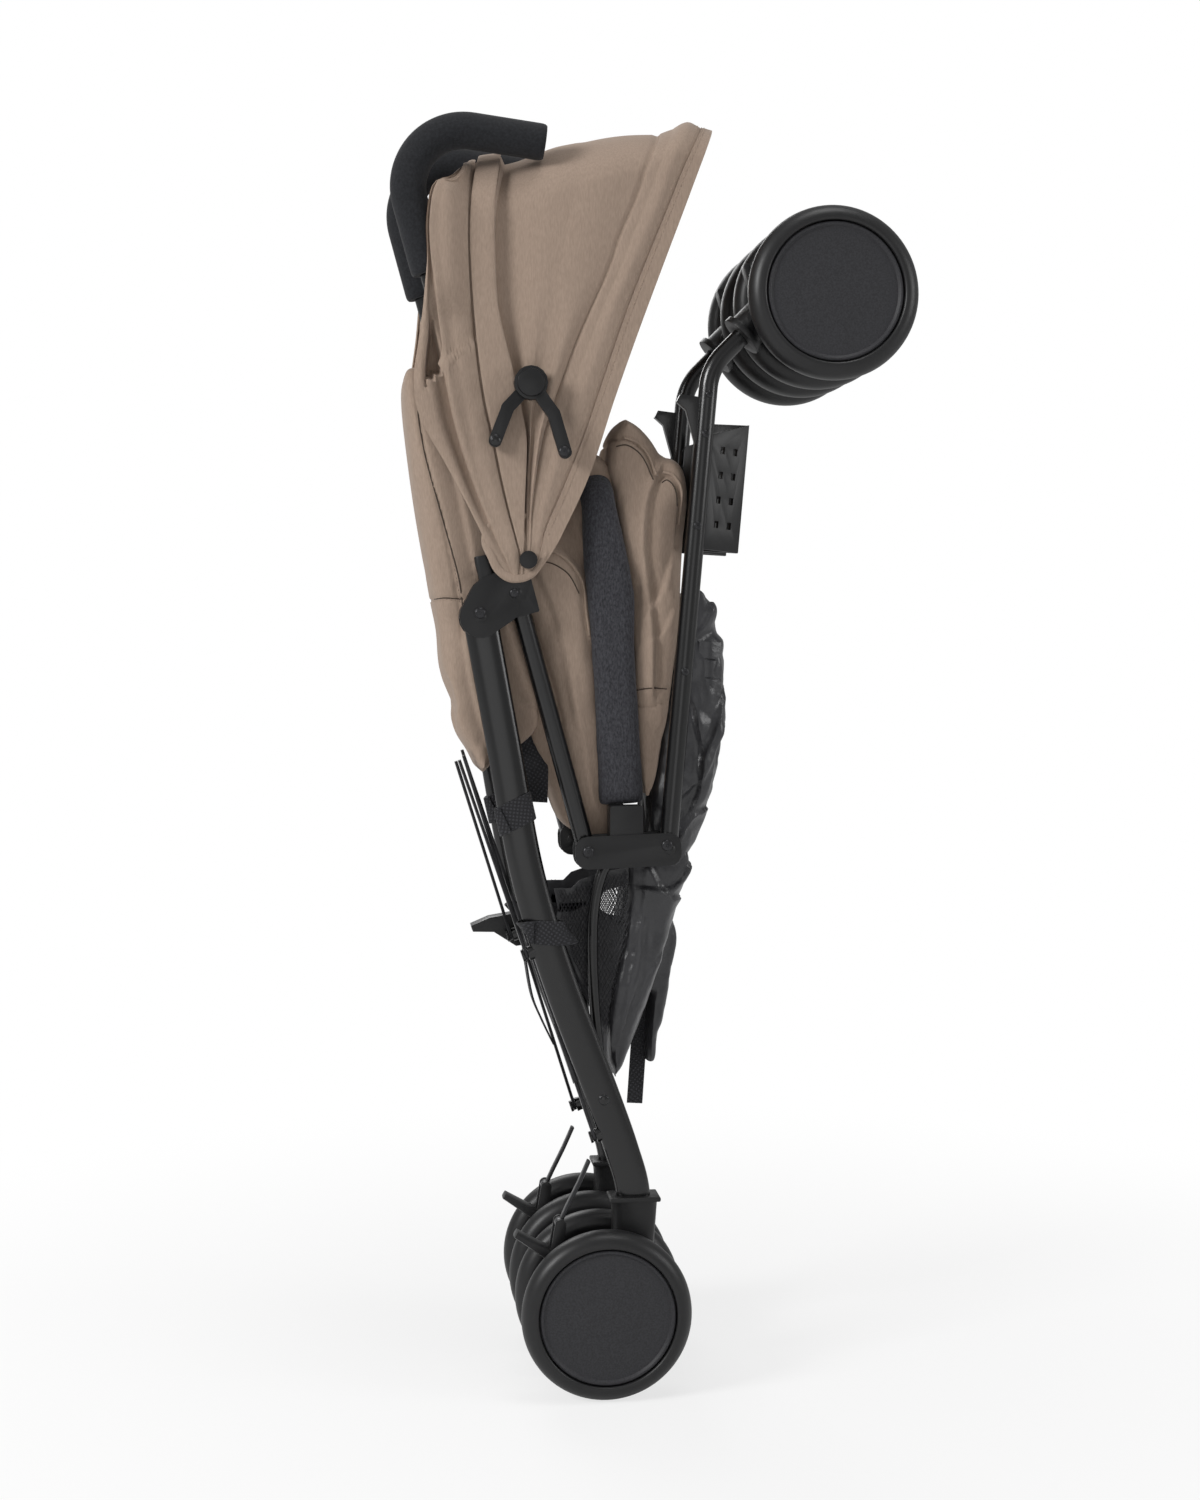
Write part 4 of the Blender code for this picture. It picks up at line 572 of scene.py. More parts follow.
def screw_head(name, centre, outward, dia_mm, material, body, height_mm=1.4):
    """Pan-head screw with a sunk middle, let a little into its tube."""
    radius = dia_mm / 2.0
    shares = ((0.96, -0.8), (1.0, 0.0), (0.97, height_mm * 0.45), (0.82, height_mm * 0.85),
              (0.55, height_mm),
              (0.30, height_mm))
    head = turned(name, [(radius * share, height) for share, height in shares], 28)
    activate(head)
    bpy.ops.object.mode_set(mode="EDIT")
    bpy.ops.mesh.select_all(action="DESELECT")
    bpy.ops.object.mode_set(mode="OBJECT")
    for face in head.data.polygons:
        face.select = len(face.vertices) > 4 and face.center.z > 0.0
    bpy.ops.object.mode_set(mode="EDIT")
    bpy.ops.mesh.inset(thickness=radius * 0.06 / 1000.0)
    bpy.ops.transform.translate(value=(0.0, 0.0, -0.7 / 1000.0))
    bpy.ops.object.mode_set(mode="OBJECT")
    smooth(head, 40.0)
    return fit(stand_on_side(head, centre, outward), material, "steel_bar", body)


def outer_face(node, x_mm, z_mm, side):
    """The outermost place of a solid at a point of the side view, or close beside it where a bore is."""
    mesh = frame["nodes"][node].data
    tree = BVHTree.FromPolygons([vertex.co for vertex in mesh.vertices],
                                [face.vertices for face in mesh.polygons])
    for beside in (0.0, 1.5, 3.0, 4.5):
        for turn in range(8):
            angle = turn * math.pi / 4.0
            start = place(x_mm + beside * math.cos(angle), z_mm + beside * math.sin(angle), side * 200.0)
            hit = tree.ray_cast(start, -side * Y_AXIS)[0]
            if hit is not None:
                return Vector((place(x_mm, 0.0).x, hit.y, z_mm / 1000.0))
    raise RuntimeError("%s has no face at %.1f, %.1f" % (node, x_mm, z_mm))


# Tubes of the frame, which repeat the source's centre lines

TUBE_DIA = 16.0
TUBE_LEAN = math.radians(15.2)
TUBE_STRAIGHT = 628.5
GRIP_BEND_RADIUS = 47.0
GRIP_BEND = math.radians(112.5)
GRIP_REACH = 131.0
GRIP_START = 498.5
GRIP_END_SHARE = 0.0265
LINK_REAR = (-12.9, 458.1)
LINK_FRONT = (56.2, 460.7)
FRONT_LEG_LEAN = math.radians(4.95)
FRONT_BEND_Z = 865.0
FRONT_BEND_RADIUS = 45.0
FRONT_FOOT_HEADING = math.radians(45.0)
FRONT_FOOT = 56.0
LEG_SECTION = (29.0, 15.0)
BRACE_DIA = 9.2
BOSS_SCREW = (0.7, 248.2)
LEG_LINE = ((-102.7, 655.9), (-82.8, 546.4), (-64, 443), (-38, 354), (1.6, 247.3), (17, 203), (26.2, 168.4),
    (27.4, 126))
BRACE_LINE = ((56.2, 460.7), (36, 460), (16, 454), (3, 440), (-4.5, 410), (-6.2, 372), (-4, 320),
    (0.0, 275), (0.7, 248.2))
# Screws of each front leg: distance up the tube from the link, and diameter
FRONT_LEG_SCREWS = ((150.0, 6.6), (273.0, 6.8), (350.0, 6.8), (383.0, 6.2))
# Screws on the fittings: solid, its body, place in the side view and diameter
FITTING_SCREWS = (("elbow", "frame", -103.4, 659.1, 9.6), ("elbow", "frame", -75.1, 675.7, 7.6),
    ("link_plate", "link", -13.3, 459.5, 9.6), ("link_plate", "link", 53.6, 464.2, 9.6),
    ("stay_rear", "stay_rear", -91.2, 801.4, 9), ("stay_front", "stay_front", -34.8, 791.6, 9))
# Tab of each elbow: places of the side view, and how far out
ELBOW_TAB = ((-95.0, 680.0, 66.0), (-97.5, 692.0, 66.5), (-99.5, 700.0, 66.0), (-100.5, 706.5, 65.5))


def bent_line(start, heading, straight, radius, bend, reach, y):
    """Straight run, bend and straight run as points; the heading is from +X towards +Z."""
    direction = Vector((math.cos(heading), 0.0, math.sin(heading))) / 1000.0
    points = [place(start[0], start[1], y)]
    for step in range(1, 13):
        points.append(points[0] + direction * straight * step / 12.0)
    centre = points[-1] + Vector((-direction.z, 0.0, direction.x)) * radius * math.copysign(1.0, bend)
    spoke = points[-1] - centre
    for step in range(1, 25):
        c = math.cos(bend * step / 24)
        s = math.sin(bend * step / 24)
        points.append(centre + Vector((spoke.x * c - spoke.z * s, 0.0, spoke.x * s + spoke.z * c)))
    end = points[-1]
    last = Vector((math.cos(heading + bend), 0.0, math.sin(heading + bend)))
    for step in range(1, 9):
        points.append(end + last * reach / 1000.0 * step / 8.0)
    return points


def grip_line(side):
    """Middle line of the handle tube inside its grip."""
    foot = (LINK_REAR[0] - math.sin(TUBE_LEAN) * GRIP_START, LINK_REAR[1] + math.cos(TUBE_LEAN) * GRIP_START)
    cut_back = GRIP_BEND_RADIUS * math.tan(GRIP_BEND / 2.0)
    return bent_line(foot, math.pi / 2.0 + TUBE_LEAN, TUBE_STRAIGHT - cut_back - GRIP_START,
                     GRIP_BEND_RADIUS,
                     -GRIP_BEND, GRIP_REACH - cut_back, side * FRAME_Y)


def up_front_leg(height):
    return (LINK_FRONT[0] + math.sin(FRONT_LEG_LEAN) * height,
            LINK_FRONT[1] + math.cos(FRONT_LEG_LEAN) * height)


def front_leg_line(side, start):
    heading = math.pi / 2.0 - FRONT_LEG_LEAN
    bend = FRONT_FOOT_HEADING - heading
    straight = (FRONT_BEND_Z - LINK_FRONT[1]) / math.cos(FRONT_LEG_LEAN) - start
    straight -= FRONT_BEND_RADIUS * math.tan(abs(bend) / 2.0)
    return bent_line(up_front_leg(start), heading, straight, FRONT_BEND_RADIUS, bend, FRONT_FOOT,
                     side * FRAME_Y)


def make_grips(material):
    """Foam sleeves over the handles, a little thinner at both ends."""
    dia = sizes().grip_diameter * 1000.0

    def section(share):
        from_end = min(share, 1.0 - share) / GRIP_END_SHARE
        rounding = math.sqrt(max(0.0, 1.0 - max(0.0, 1.0 - from_end) ** 2))
        return round_section(dia * (0.90 + 0.10 * rounding), 48)

    for side, word in SIDES:
        grip = swept("foam_grip_" + word, resample(grip_line(side), 150), section)
        fit(soften_ends(grip), material, "grip_foam", "frame_" + word, "handle_grip_" + word)


def make_rear_legs(coat, steel):
    """Smooth oval legs over the copies of the solids, whose bosses stay in view."""
    for side, word in SIDES:
        body = "rear_leg_" + word
        path = resample(curve_through([place(x, z, side * FRAME_Y) for x, z in LEG_LINE], 12), 120)
        fit(swept("oval_leg_" + word, path, oval(*LEG_SECTION, 48, 2.6)), coat, "powder_coat", body)
        lower = finished_copy(body)
        sink_leg(lower, side)
        screw_head("leg_screw_" + word, place(*BOSS_SCREW, side * (FRAME_Y + 7.4)), side, 9.4, steel, body)
        fit(lower, coat, "powder_coat", body, body)


def sink_leg(piece, side):
    """Draw the coarser leg in under its smooth one, so that only its bosses stand out."""
    line = [place(x, z, side * FRAME_Y) for x, z in LEG_LINE]
    for vertex in piece.data.vertices:
        point = vertex.co
        flat = Vector((point.x, side * FRAME_Y / 1000.0, point.z))
        if abs(abs(point.y) - FRAME_Y / 1000.0) <= 0.0078 and \
                min(distance_to(flat, start, end) for start, end in zip(line, line[1:])) < 0.0160:
            vertex.co -= vertex.normal * 0.0006
    piece.data.update()


def distance_to(point, start, end):
    run = end - start
    part = max(0.0, min(1.0, (point - start).dot(run) / run.length_squared))
    return (start + run * part - point).length


def make_front_legs(coat, steel):
    """Smooth front legs and side braces over the copies of their solids, and the screws of the legs."""
    for side, word in SIDES:
        leg = "front_leg_" + word
        path = resample(front_leg_line(side, -9.0), 130)
        fit(swept("front_tube_" + word, path, round_section(TUBE_DIA)), coat, "powder_coat", leg)
        fit(finished_copy(leg), coat, "powder_coat", leg, leg)
        brace = "side_brace_" + word
        path = curve_through([place(x, z, side * BRACE_Y) for x, z in BRACE_LINE], 12)
        fit(swept("side_brace_tube_" + word, path, round_section(BRACE_DIA, 28)), coat, "powder_coat", brace)
        fit(finished_copy(brace), coat, "powder_coat", brace, brace)
        for number, (height, dia) in enumerate(FRONT_LEG_SCREWS):
            screw_head("tube_screw_%s_%d" % (word, number),
                       place(*up_front_leg(height), side * (FRAME_Y + 7.6)),
                       side, dia, steel, leg, 1.8)


def make_fittings(steel, plastic):
    """Screws and elbow tabs on the moulded fittings."""
    for side, word in SIDES:
        for number, (stem, body, x, z, dia) in enumerate(FITTING_SCREWS):
            node = "%s_%s" % (stem, word)
            screw_head("%s_screw_%d" % (node, number), outer_face(node, x, z, side), side, dia, steel,
                       "%s_%s" % (body, word), 2.2)
        path = curve_through([place(x, z, side * y) for x, z, y in ELBOW_TAB], 6)
        tab = swept("elbow_tab_" + word, path, oval(14.5, 12.0, 28, 3.0))
        fit(soften_ends(tab, 2.5), plastic, "black_plastic", "frame_" + word)


# Wheels: profiles are (radius, height over the wheel's middle plane), outwards

TREAD_HALF = ((51.0, 8.6), (54.5, 10.2), (57.0, 12.2), (59.5, 13.0), (62.5, 12.8), (65.5, 11.6), (68.2, 9.5),
              (70.3, 6.6), (71.6, 3.4))
TREAD_IN = (*((radius, -height) for radius, height in TREAD_HALF), (72.0, 0.0))
TREAD_OUT = TREAD_HALF[::-1]
OUTER_TYRE = ((10.0, -12.0), (14.0, -12.4), (15.0, -9.2), *TREAD_IN, *TREAD_OUT[:5], (60.0, 13.0),
              (58.8, 12.5),
              (58.1, 11.2), (58.0, 5.0), (10.0, 5.0))
INNER_TYRE = ((10.0, -13.0), (13.0, -13.0), (14.0, -9.2), *TREAD_IN, *TREAD_OUT, (14.0, 9.2), (13.0, 13.0),
              (10.0, 13.0))
CAP_PROFILE = ((54, 5.6), (57.2, 5.8), (57.3, 9.4), (56.9, 10.6), (56, 11.3), (54.8, 11.4), (53.9, 10.9),
    (53.3, 9.9), (52.7, 9.5), (51, 9.5), (30, 10.1), (28.6, 10.1), (27.6, 10.25), (12, 10.4), (4, 10.4))


def make_wheels(tyre, cap):
    """Eight tyres turned with their rims, and a cap on each outer one."""
    for side, word in SIDES:
        for end in ("rear", "front"):
            for twin, profile in (("outer", OUTER_TYRE), ("inner", INNER_TYRE)):
                node = "%s_wheel_%s_%s" % (end, twin, word)
                low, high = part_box(node)
                wheel = smooth(turned("moulded_" + node, profile), 42.0)
                fit(stand_on_side(wheel, 0.5 * (low + high), side), tyre, "tyre_foam", node, node)
                if twin == "outer":
                    cap_node = "hub_cap_%s_%s" % (end, word)
                    disc = smooth(turned("pebbled_" + cap_node, CAP_PROFILE), 30.0)
                    fit(stand_on_side(disc, 0.5 * (low + high), side), cap, "black_plastic", node, cap_node)


# Hood

HOOD_MIDDLE = place(-40.0, 850.0)
HOOD_SHOULDER = 0.62
HOOD_SET_IN = 5.2
HEM_END, FRONT_BOW_SEAM, STRIP_START = 0.066, 0.27, 0.842
PLEAT_START, PLEAT_END = 0.125, 0.575
STITCH_STEP, STITCH_LONG, STITCH_WIDE = 3.4, 2.1, 0.55
# Rows of stitches on the hood's front part: name and share of the way back
HOOD_STITCHES = (("hem_stitches", 0.050), ("bow_stitches", 0.268), ("bow_stitches_front", 0.086))
PAD_SINK = 5.0
PAD_MIDDLE = Vector((-68.0, 0.0, 716.0))
# Border of the pad: scale of its edge, and height over the hood
PAD_RINGS = ((1.0, -1.2), (1.0, 0.4), (0.985, 1.3), (0.94, 1.9), (0.86, 1.9), (0.81, 1.5), (0.785, 0.6),
             (0.77, 0.0),
             (0.5, 0.0))
PAD_EDGE = ((-41, 720), (-46.5, 707), (-54.2, 693.5), (-62.3, 686.6), (-73.1, 684), (-82.6, 685.9),
    (-91.4, 693.4), (-96.8, 704.1), (-101.9, 717.5), (-98, 732), (-84, 740), (-60, 742), (-44, 735),
    (-41, 720))
BUTTON = (-63.6, 703.0)
BUTTON_PROFILE = ((7.0, -3.5), (7.2, 0.3), (7.0, 1.0), (6.3, 1.4), (5.6, 1.3), (5.3, 0.6), (4.9, 0.6),
                  (4.0, 1.5),
                  (2.4, 2.1), (0.8, 2.3))

# Guide lines of the hood from its pad up to the middle of the roof: the share of the way back from the hem
# to the mid bow or from the mid bow to the rear edge, then places of the side view
HOOD_FRONT_GUIDES = ((0.0, ((-54.2, 693.5), (-45.8, 705.5), (-34.5, 725), (-11.5, 774.5), (8.6, 835),
            (27.8, 889), (47.5, 941.7), (67, 993), (86, 1043), (99, 1071.5))), (0.07, ((-59, 690),
            (-53, 712), (-48.5, 730), (-33.5, 765), (-12, 820.2), (14.6, 898.3), (31, 941.4), (53, 995.2),
            (70, 1036), (90, 1074))), (0.13, ((-60, 689), (-55, 714), (-51, 736), (-38, 780), (-20, 828),
            (6.6, 905), (23, 945), (45, 997), (60, 1038), (79.5, 1076))), (0.27, ((-63, 687.5),
            (-60.5, 720), (-59, 750), (-50.9, 801.2), (-40.1, 836.2), (-21, 887.3), (3.4, 941.2),
            (14.6, 973.4), (27.8, 1003), (38, 1033), (54, 1069))), (0.55, ((-66, 687.5), (-63, 720),
            (-62, 770), (-56, 845), (-42, 945), (-32, 1000), (-17, 1060.5))), (0.84, ((-68, 688),
            (-67, 709.7), (-65.5, 755.3), (-64.1, 787.5), (-64.5, 807.6), (-70, 835.6), (-76.6, 864.8),
            (-82, 886), (-87, 907.2), (-89.4, 928.3), (-90.4, 954.8), (-90.8, 976), (-89.7, 997.1),
            (-86.2, 1018.3), (-80, 1047.5))), (1.0, ((-70, 688), (-68.9, 704.3), (-72.9, 720.4),
            (-79, 744.5), (-85.7, 773.9), (-91, 800.6), (-98.2, 832.5), (-103.5, 867), (-106.9, 901.5),
            (-109.2, 927.9), (-110.4, 954.4), (-110.7, 975.5), (-109.5, 996.6), (-106.4, 1017.3),
            (-99, 1045))))
HOOD_REAR_GUIDES = ((0.0, ((-65, 689), (-63, 704), (-65, 720), (-70, 744.5), (-77, 773.9), (-82, 800.6),
            (-89, 832.5), (-94.5, 867), (-98, 901.5), (-100, 927.9), (-101.4, 954.4), (-101.7, 975.5),
            (-100, 996.6), (-97, 1017.3), (-90, 1044))), (0.1, ((-72, 688), (-70, 704.3), (-73.5, 720.4),
            (-79.6, 744.5), (-86.3, 773.9), (-91.6, 800.6), (-98.8, 832.5), (-104.1, 867), (-107.5, 901.5),
            (-109.8, 927.9), (-111, 954.4), (-111.3, 975.5), (-110.1, 996.6), (-107, 1017.3),
            (-100, 1043.5))), (0.56, ((-76, 690), (-80, 700), (-88.4, 720.4), (-102.9, 755.2),
            (-115.1, 789.8), (-124.1, 821.7), (-129.4, 848.3), (-132, 866.9), (-135.9, 896),
            (-139.8, 927.7), (-143.2, 954), (-144, 980), (-139, 1008), (-124, 1016), (-110, 1036))), (0.62,
        ((-79, 692), (-83, 702), (-91, 720.4), (-105.5, 755.2), (-117.6, 789.8), (-126.6, 821.7),
            (-132, 848.3), (-135, 866.9), (-138, 896), (-141.4, 927.7), (-143.8, 954), (-144.5, 980),
            (-139.5, 1008), (-124, 1016.5), (-110, 1036))), (0.8, ((-86, 697), (-90, 706), (-97, 720),
            (-112.5, 751), (-126, 784), (-138.5, 816), (-145, 848), (-146.6, 867), (-144.8, 890),
            (-144.6, 920), (-145, 954), (-145.4, 980), (-140, 1009), (-124, 1017.5), (-110, 1036))), (1.0,
        ((-90, 701), (-95, 710), (-107.5, 736.6), (-121, 763.3), (-134.3, 787.3), (-148, 811), (-156, 832),
            (-157, 857), (-153.3, 882), (-150, 906), (-148, 927.5), (-145.8, 954), (-146, 980),
            (-140.5, 1010), (-124, 1018), (-110, 1036))))


def climb_of(round_):
    """How high a place round the hood is: 0 at either pad and 1 at the middle of the roof."""
    return 1.0 - abs(2.0 * round_ - 1.0)


def guide_paths(guides):
    """Each guide as an even path: its share, its points and the part run at each point."""
    paths = []
    for share, corners in guides:
        path = side_curve(corners, 10)
        reach = lengths_along(path)
        paths.append((share, path, [length / reach[-1] for length in reach]))
    return paths


def along_guide(guide, height):
    _, path, reach = guide
    for index in range(len(reach) - 1):
        if height <= reach[index + 1]:
            part = (height - reach[index]) / (reach[index + 1] - reach[index])
            return path[index].lerp(path[index + 1], part)
    return path[-1].copy()


def between_guides(paths, share, height):
    for first, second in zip(paths, paths[1:]):
        if share <= second[0]:
            part = (share - first[0]) / (second[0] - first[0])
            return along_guide(first, height).lerp(along_guide(second, height), part)
    return along_guide(paths[-1], height)


def hood_surface(paths, start_of_roof, half_mm, flare):
    """Point of the hood at (share, round): round goes from the right pad over the roof to the left pad."""
    def point(share, round_):
        climb = climb_of(round_)
        start = start_of_roof(share)
        height = start * climb / HOOD_SHOULDER
        fall = 1.0
        if climb >= HOOD_SHOULDER:
            turn = (climb - HOOD_SHOULDER) / (1.0 - HOOD_SHOULDER) * math.pi / 2.0
            height = start + (1.0 - start) * math.sin(turn)
            fall = math.cos(turn)
        flat = between_guides(paths, share, height)
        side = -1.0 if round_ <= 0.5 else 1.0
        return place(flat.x, flat.z, side * (half_mm + flare(flat.x, flat.z)) * fall)
    return point


def front_roof_start(share):
    return 0.90 - 0.09 * rise(share, 0.0, 1.0)


def rear_roof_start(share):
    return 0.80 + 0.11 * rise(share, 0.15, 0.60)


def pad_flare(_, z):
    """Near the pivot the cloth lies outside the elbow."""
    return 3.3 * (1.0 - rise(z, 712.0, 742.0))


def rear_flare(x, z):
    """How far the rear cloth stands out: past the handle tube, past the grip, and sunk behind the tube."""
    past_tube = 2.8 * rise(-x, 104.0, 124.0) * rise(z, 800.0, 850.0)
    past_grip = 7.2 * rise(-x, 112.0, 132.0) * rise(z, 896.0, 928.0) * (1.0 - rise(z, 1000.0, 1014.0))
    tube_back = -22.0 - (z - 458.0) * 0.2717
    left_edge = -147.0 + (z - 867.0) * 0.127
    low_edge = 850.0 + 0.857 * (x + 145.8)
    hollow = (2.4 + 14.0 * rise(tube_back - x, -1.0, 4.0)) * rise(x - left_edge, -2.5, 2.5)
    hollow *= rise(z - low_edge, -1.0, 3.0) * (1.0 - rise(z, 900.0, 922.0))
    return past_tube + past_grip + pad_flare(x, z) - hollow


def front_relief(share, round_):
    """Height of the front part: the bow's channel, the field sinking to the strip, waves and rays."""
    climb = climb_of(round_)
    bow = 3.2 * hump(share, HEM_END, 0.20) ** 0.7 * (1.0 - rise(share, 0.13, FRONT_BOW_SEAM))
    bow += 1.2 * hump(share, 0.10, FRONT_BOW_SEAM) - 1.5 * hump(share, 0.258, 0.288)
    field = 2.0 * hump(share, 0.28, 0.52)
    field -= 6.6 * rise(share, 0.60, 0.825) * (1.0 - rise(share, 0.834, STRIP_START))
    wave = 2.8 * math.sin(6.0 * share - 5.0 * climb + 1.2) * hump(share, 0.30, 0.80) * hump(climb, 0.22,
                                                                                            0.88)
    rays = 2.2 * hump(share, 0.30, 0.44) - 2.0 * hump(share, 0.42, 0.60) + 2.4 * hump(share, 0.58, 0.80)
    return (bow + field + wave + rays * hump(climb, 0.02, 0.46)) * rise(climb, 0.0, 0.20)


def rear_relief(share, round_):
    """Height of the rear part: it sinks behind the wide pleat, with a fold above and below the hollow."""
    climb = climb_of(round_)
    behind = rise(share, 0.572, 0.592)
    below = 2.0 * hump(share, 0.68, 1.0) - 4.5 * behind * (1.0 - rise(share, 0.60, 0.80))
    above = -2.0 * behind * (1.0 - rise(share, 0.62, 0.90)) * rise(climb, 0.42, 0.48)
    upper_fold = 2.4 * hump(share, 0.80, 1.0) * hump(climb, 0.28, 0.50)
    return (below * (1.0 - rise(climb, 0.30, 0.33)) + above + upper_fold) * rise(climb, 0.0, 0.20)


def hem_profile(across, climb):
    return (1.7 - 0.5 * hump(across, 0.80, 1.0)) * rise(climb, 0.01, 0.06)


def strip_profile(across, climb):
    rounded = 0.7 * math.sqrt(max(0.0, 1.0 - (2.0 * across - 1.0) ** 6))
    return (3.0 - 0.4 * across + rounded) * rise(climb, -0.05, 0.16)


def pleat_profile(across, climb):
    """The band behind the strip bulges, and its free edge stands off the cloth under it."""
    rounded = 0.8 * math.sqrt(max(0.0, 1.0 - (2.0 * across - 1.0) ** 8))
    free_edge = (0.9 + 3.4 * hump(climb, 0.16, 0.50)) * rise(across, 0.55, 0.95)
    return (1.9 + rounded + 1.3 * hump(across, 0.05, 0.75) + free_edge) * rise(climb, -0.05, 0.12)


def band_on(name, surface, relief, first, second, columns, rows, profile):
    """A band of cloth over the hood between two shares; its profile is (across, climb) to height."""
    def share_at(across):
        return first + (second - first) * across
    return cloth_sheet(name, lambda across, along: surface(share_at(across), along), columns, rows, 1.1,
                       lambda across, along: relief(share_at(across), along) + profile(across,
                                                                                       climb_of(along)))


def stitch_row(name, line, material):
    """A row of sewn stitches along a line of points and outward directions, each a short raised bar."""
    builder = bmesh.new()
    carried = 0.0
    for (first, _), (second, _) in zip(line, line[1:]):
        length = (second - first).length
        if length < 1e-7:
            continue
        along = (second - first) / length
        while carried < length:
            centre = first + along * carried
            nearest = min(line[::4], key=lambda spot: (spot[0] - centre).length_squared)
            normal = nearest[1]
            side = along.cross(normal).normalized()
            corners = [builder.verts.new(centre + along * a * STITCH_LONG / 2000.0
                                         + side * b * STITCH_WIDE / 2000.0
                                         + normal * (c * 0.35 - 0.15) / 1000.0)
                       for a, b, c in ((-1, -1, 0), (1, -1, 0), (1, 1, 0), (-1, 1, 0), (-0.7, -0.5, 1),
                                       (0.7, -0.5, 1), (0.7, 0.5, 1), (-0.7, 0.5, 1))]
            for face in ((0, 3, 2, 1), (4, 5, 6, 7), (0, 1, 5, 4), (1, 2, 6, 5), (2, 3, 7, 6), (3, 0, 4, 7)):
                builder.faces.new([corners[corner] for corner in face])
            carried += STITCH_STEP / 1000.0
        carried -= length
    bmesh.ops.recalc_face_normals(builder, faces=builder.faces)
    return dress(object_from(builder, name), material)


def hood_line(surface, share):
    """A line on the hood's front at one share, just off the cloth, with the cloth's outward way."""
    path = []
    for step in range(161):
        round_ = 0.03 + 0.94 * step / 160
        across = surface(min(share + 0.01, 1.0), round_) - surface(max(share - 0.01, 0.0), round_)
        along = surface(share, min(round_ + 0.004, 1.0)) - surface(share, max(round_ - 0.004, 0.0))
        normal = across.cross(along).normalized()
        here = surface(share, round_)
        if normal.dot(here - HOOD_MIDDLE) < 0.0:
            normal = -normal
        lift = front_relief(share, round_) + 0.2
        if share < HEM_END:
            lift += hem_profile(0.7, climb_of(round_))
        path.append((here + normal * lift / 1000.0, normal))
    return path


def make_pad(word, side, cloth):
    """Border of doubled cloth under the pivot button, where the hood's edges meet."""
    line = side_curve(PAD_EDGE, 8)
    out = HOOD_Y - 2.6
    builder = bmesh.new()
    rings = []
    for scale, lift in PAD_RINGS:
        spots = [PAD_MIDDLE + (point - PAD_MIDDLE) * scale for point in line[:-1]]
        rings.append([builder.verts.new(place(spot.x, spot.z, side * (out + lift
                                                                      - PAD_SINK * rise(spot.z, 706.0,
                                                                                        728.0))))
                      for spot in spots])
    bridge(builder, rings)
    builder.faces.new(rings[-1])
    builder.faces.new(list(reversed(rings[0])))
    bmesh.ops.recalc_face_normals(builder, faces=builder.faces)
    pad = smooth(object_from(builder, "hood_pad_" + word), 60.0)
    return fit(pad, cloth, "taupe_cloth", "canopy_" + word)


def make_button(word, side, steel):
    """Domed pivot screw of the hood, bare of any mark."""
    button = smooth(turned("hood_button_" + word, BUTTON_PROFILE, 40), 24.0)
    fit(stand_on_side(button, place(*BUTTON, side * (HOOD_Y - 0.6)), side), steel, "black_plastic",
        "frame_" + word)


def make_hood(cloth, steel):
    """The hood's cloth: its front part lies over the bows, its rear part hangs from the handle tubes."""
    columns, rows = ((120, 190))
    half = HOOD_Y - HOOD_SET_IN
    thickness = sizes().cloth_thickness * 1000.0
    front = hood_surface(guide_paths(HOOD_FRONT_GUIDES), front_roof_start, half, pad_flare)
    rear = hood_surface(guide_paths(HOOD_REAR_GUIDES), rear_roof_start, half - 0.6, rear_flare)
    sheet = cloth_sheet("hood_front", front, columns, rows, thickness, front_relief)
    back = cloth_sheet("hood_rear", rear, columns, rows, thickness, rear_relief)
    front_bands = [band_on("hood_hem", front, front_relief, 0.0, HEM_END, 8, rows, hem_profile),
                   band_on("hood_strip", front, front_relief, STRIP_START, 1.0, 18, rows, strip_profile)]
    front_bands += [stitch_row(name, hood_line(front, share), cloth) for name, share in HOOD_STITCHES]
    rear_bands = [band_on("hood_wide_pleat", rear, rear_relief, PLEAT_START, PLEAT_END, 34, rows,
                          pleat_profile)]
    span(sheet, cloth, "taupe_cloth", "canopy_right", "canopy_left", "canopy_front_right",
         "canopy_front_left")
    span(back, cloth, "taupe_cloth", "frame_right", "frame_left", "canopy_rear_right", "canopy_rear_left")
    for side, word in SIDES:
        make_pad(word, side, cloth)
        make_button(word, side, steel)
    for band in front_bands:
        span(band, cloth, "taupe_cloth", "canopy_right", "canopy_left")
    for band in rear_bands:
        span(band, cloth, "taupe_cloth", "frame_right", "frame_left")


# Padded cloth

def lobe(builder, outline, y_low, y_high, crown):
    """Add a closed pillow to a mesh: an outline carried across the stroller and drawn in at both ends."""
    area = sum(a[0] * b[1] - b[0] * a[1] for a, b in zip(outline, outline[1:] + outline[:1]))
    turn = math.copysign(1.0, area)
    path = side_curve(outline + outline[:1], 3)[:-1]
    rings = []
    for step in range(9):
        t = -1.0 + 2.0 * step / 8
        y = 0.5 * (y_low + y_high) + 0.5 * (y_high - y_low) * math.sin(t * math.pi / 2.0)
        inset = turn * crown * (1.0 - math.sqrt(max(0.0, 1.0 - abs(t) ** 3.0)))
        ring = []
        for index, point in enumerate(path):
            tangent = (path[(index + 1) % len(path)] - path[index - 1]).normalized()
            ring.append(builder.verts.new(place(point.x - tangent.z * inset, point.z + tangent.x * inset,
                                                y)))
        rings.append(ring)
    bridge(builder, rings)
    for cap in (rings[0], list(reversed(rings[-1]))):
        middle = builder.verts.new(sum((vertex.co for vertex in cap), Vector()) / len(cap))
        for index in range(len(cap)):
            builder.faces.new((cap[(index + 1) % len(cap)], cap[index], middle))


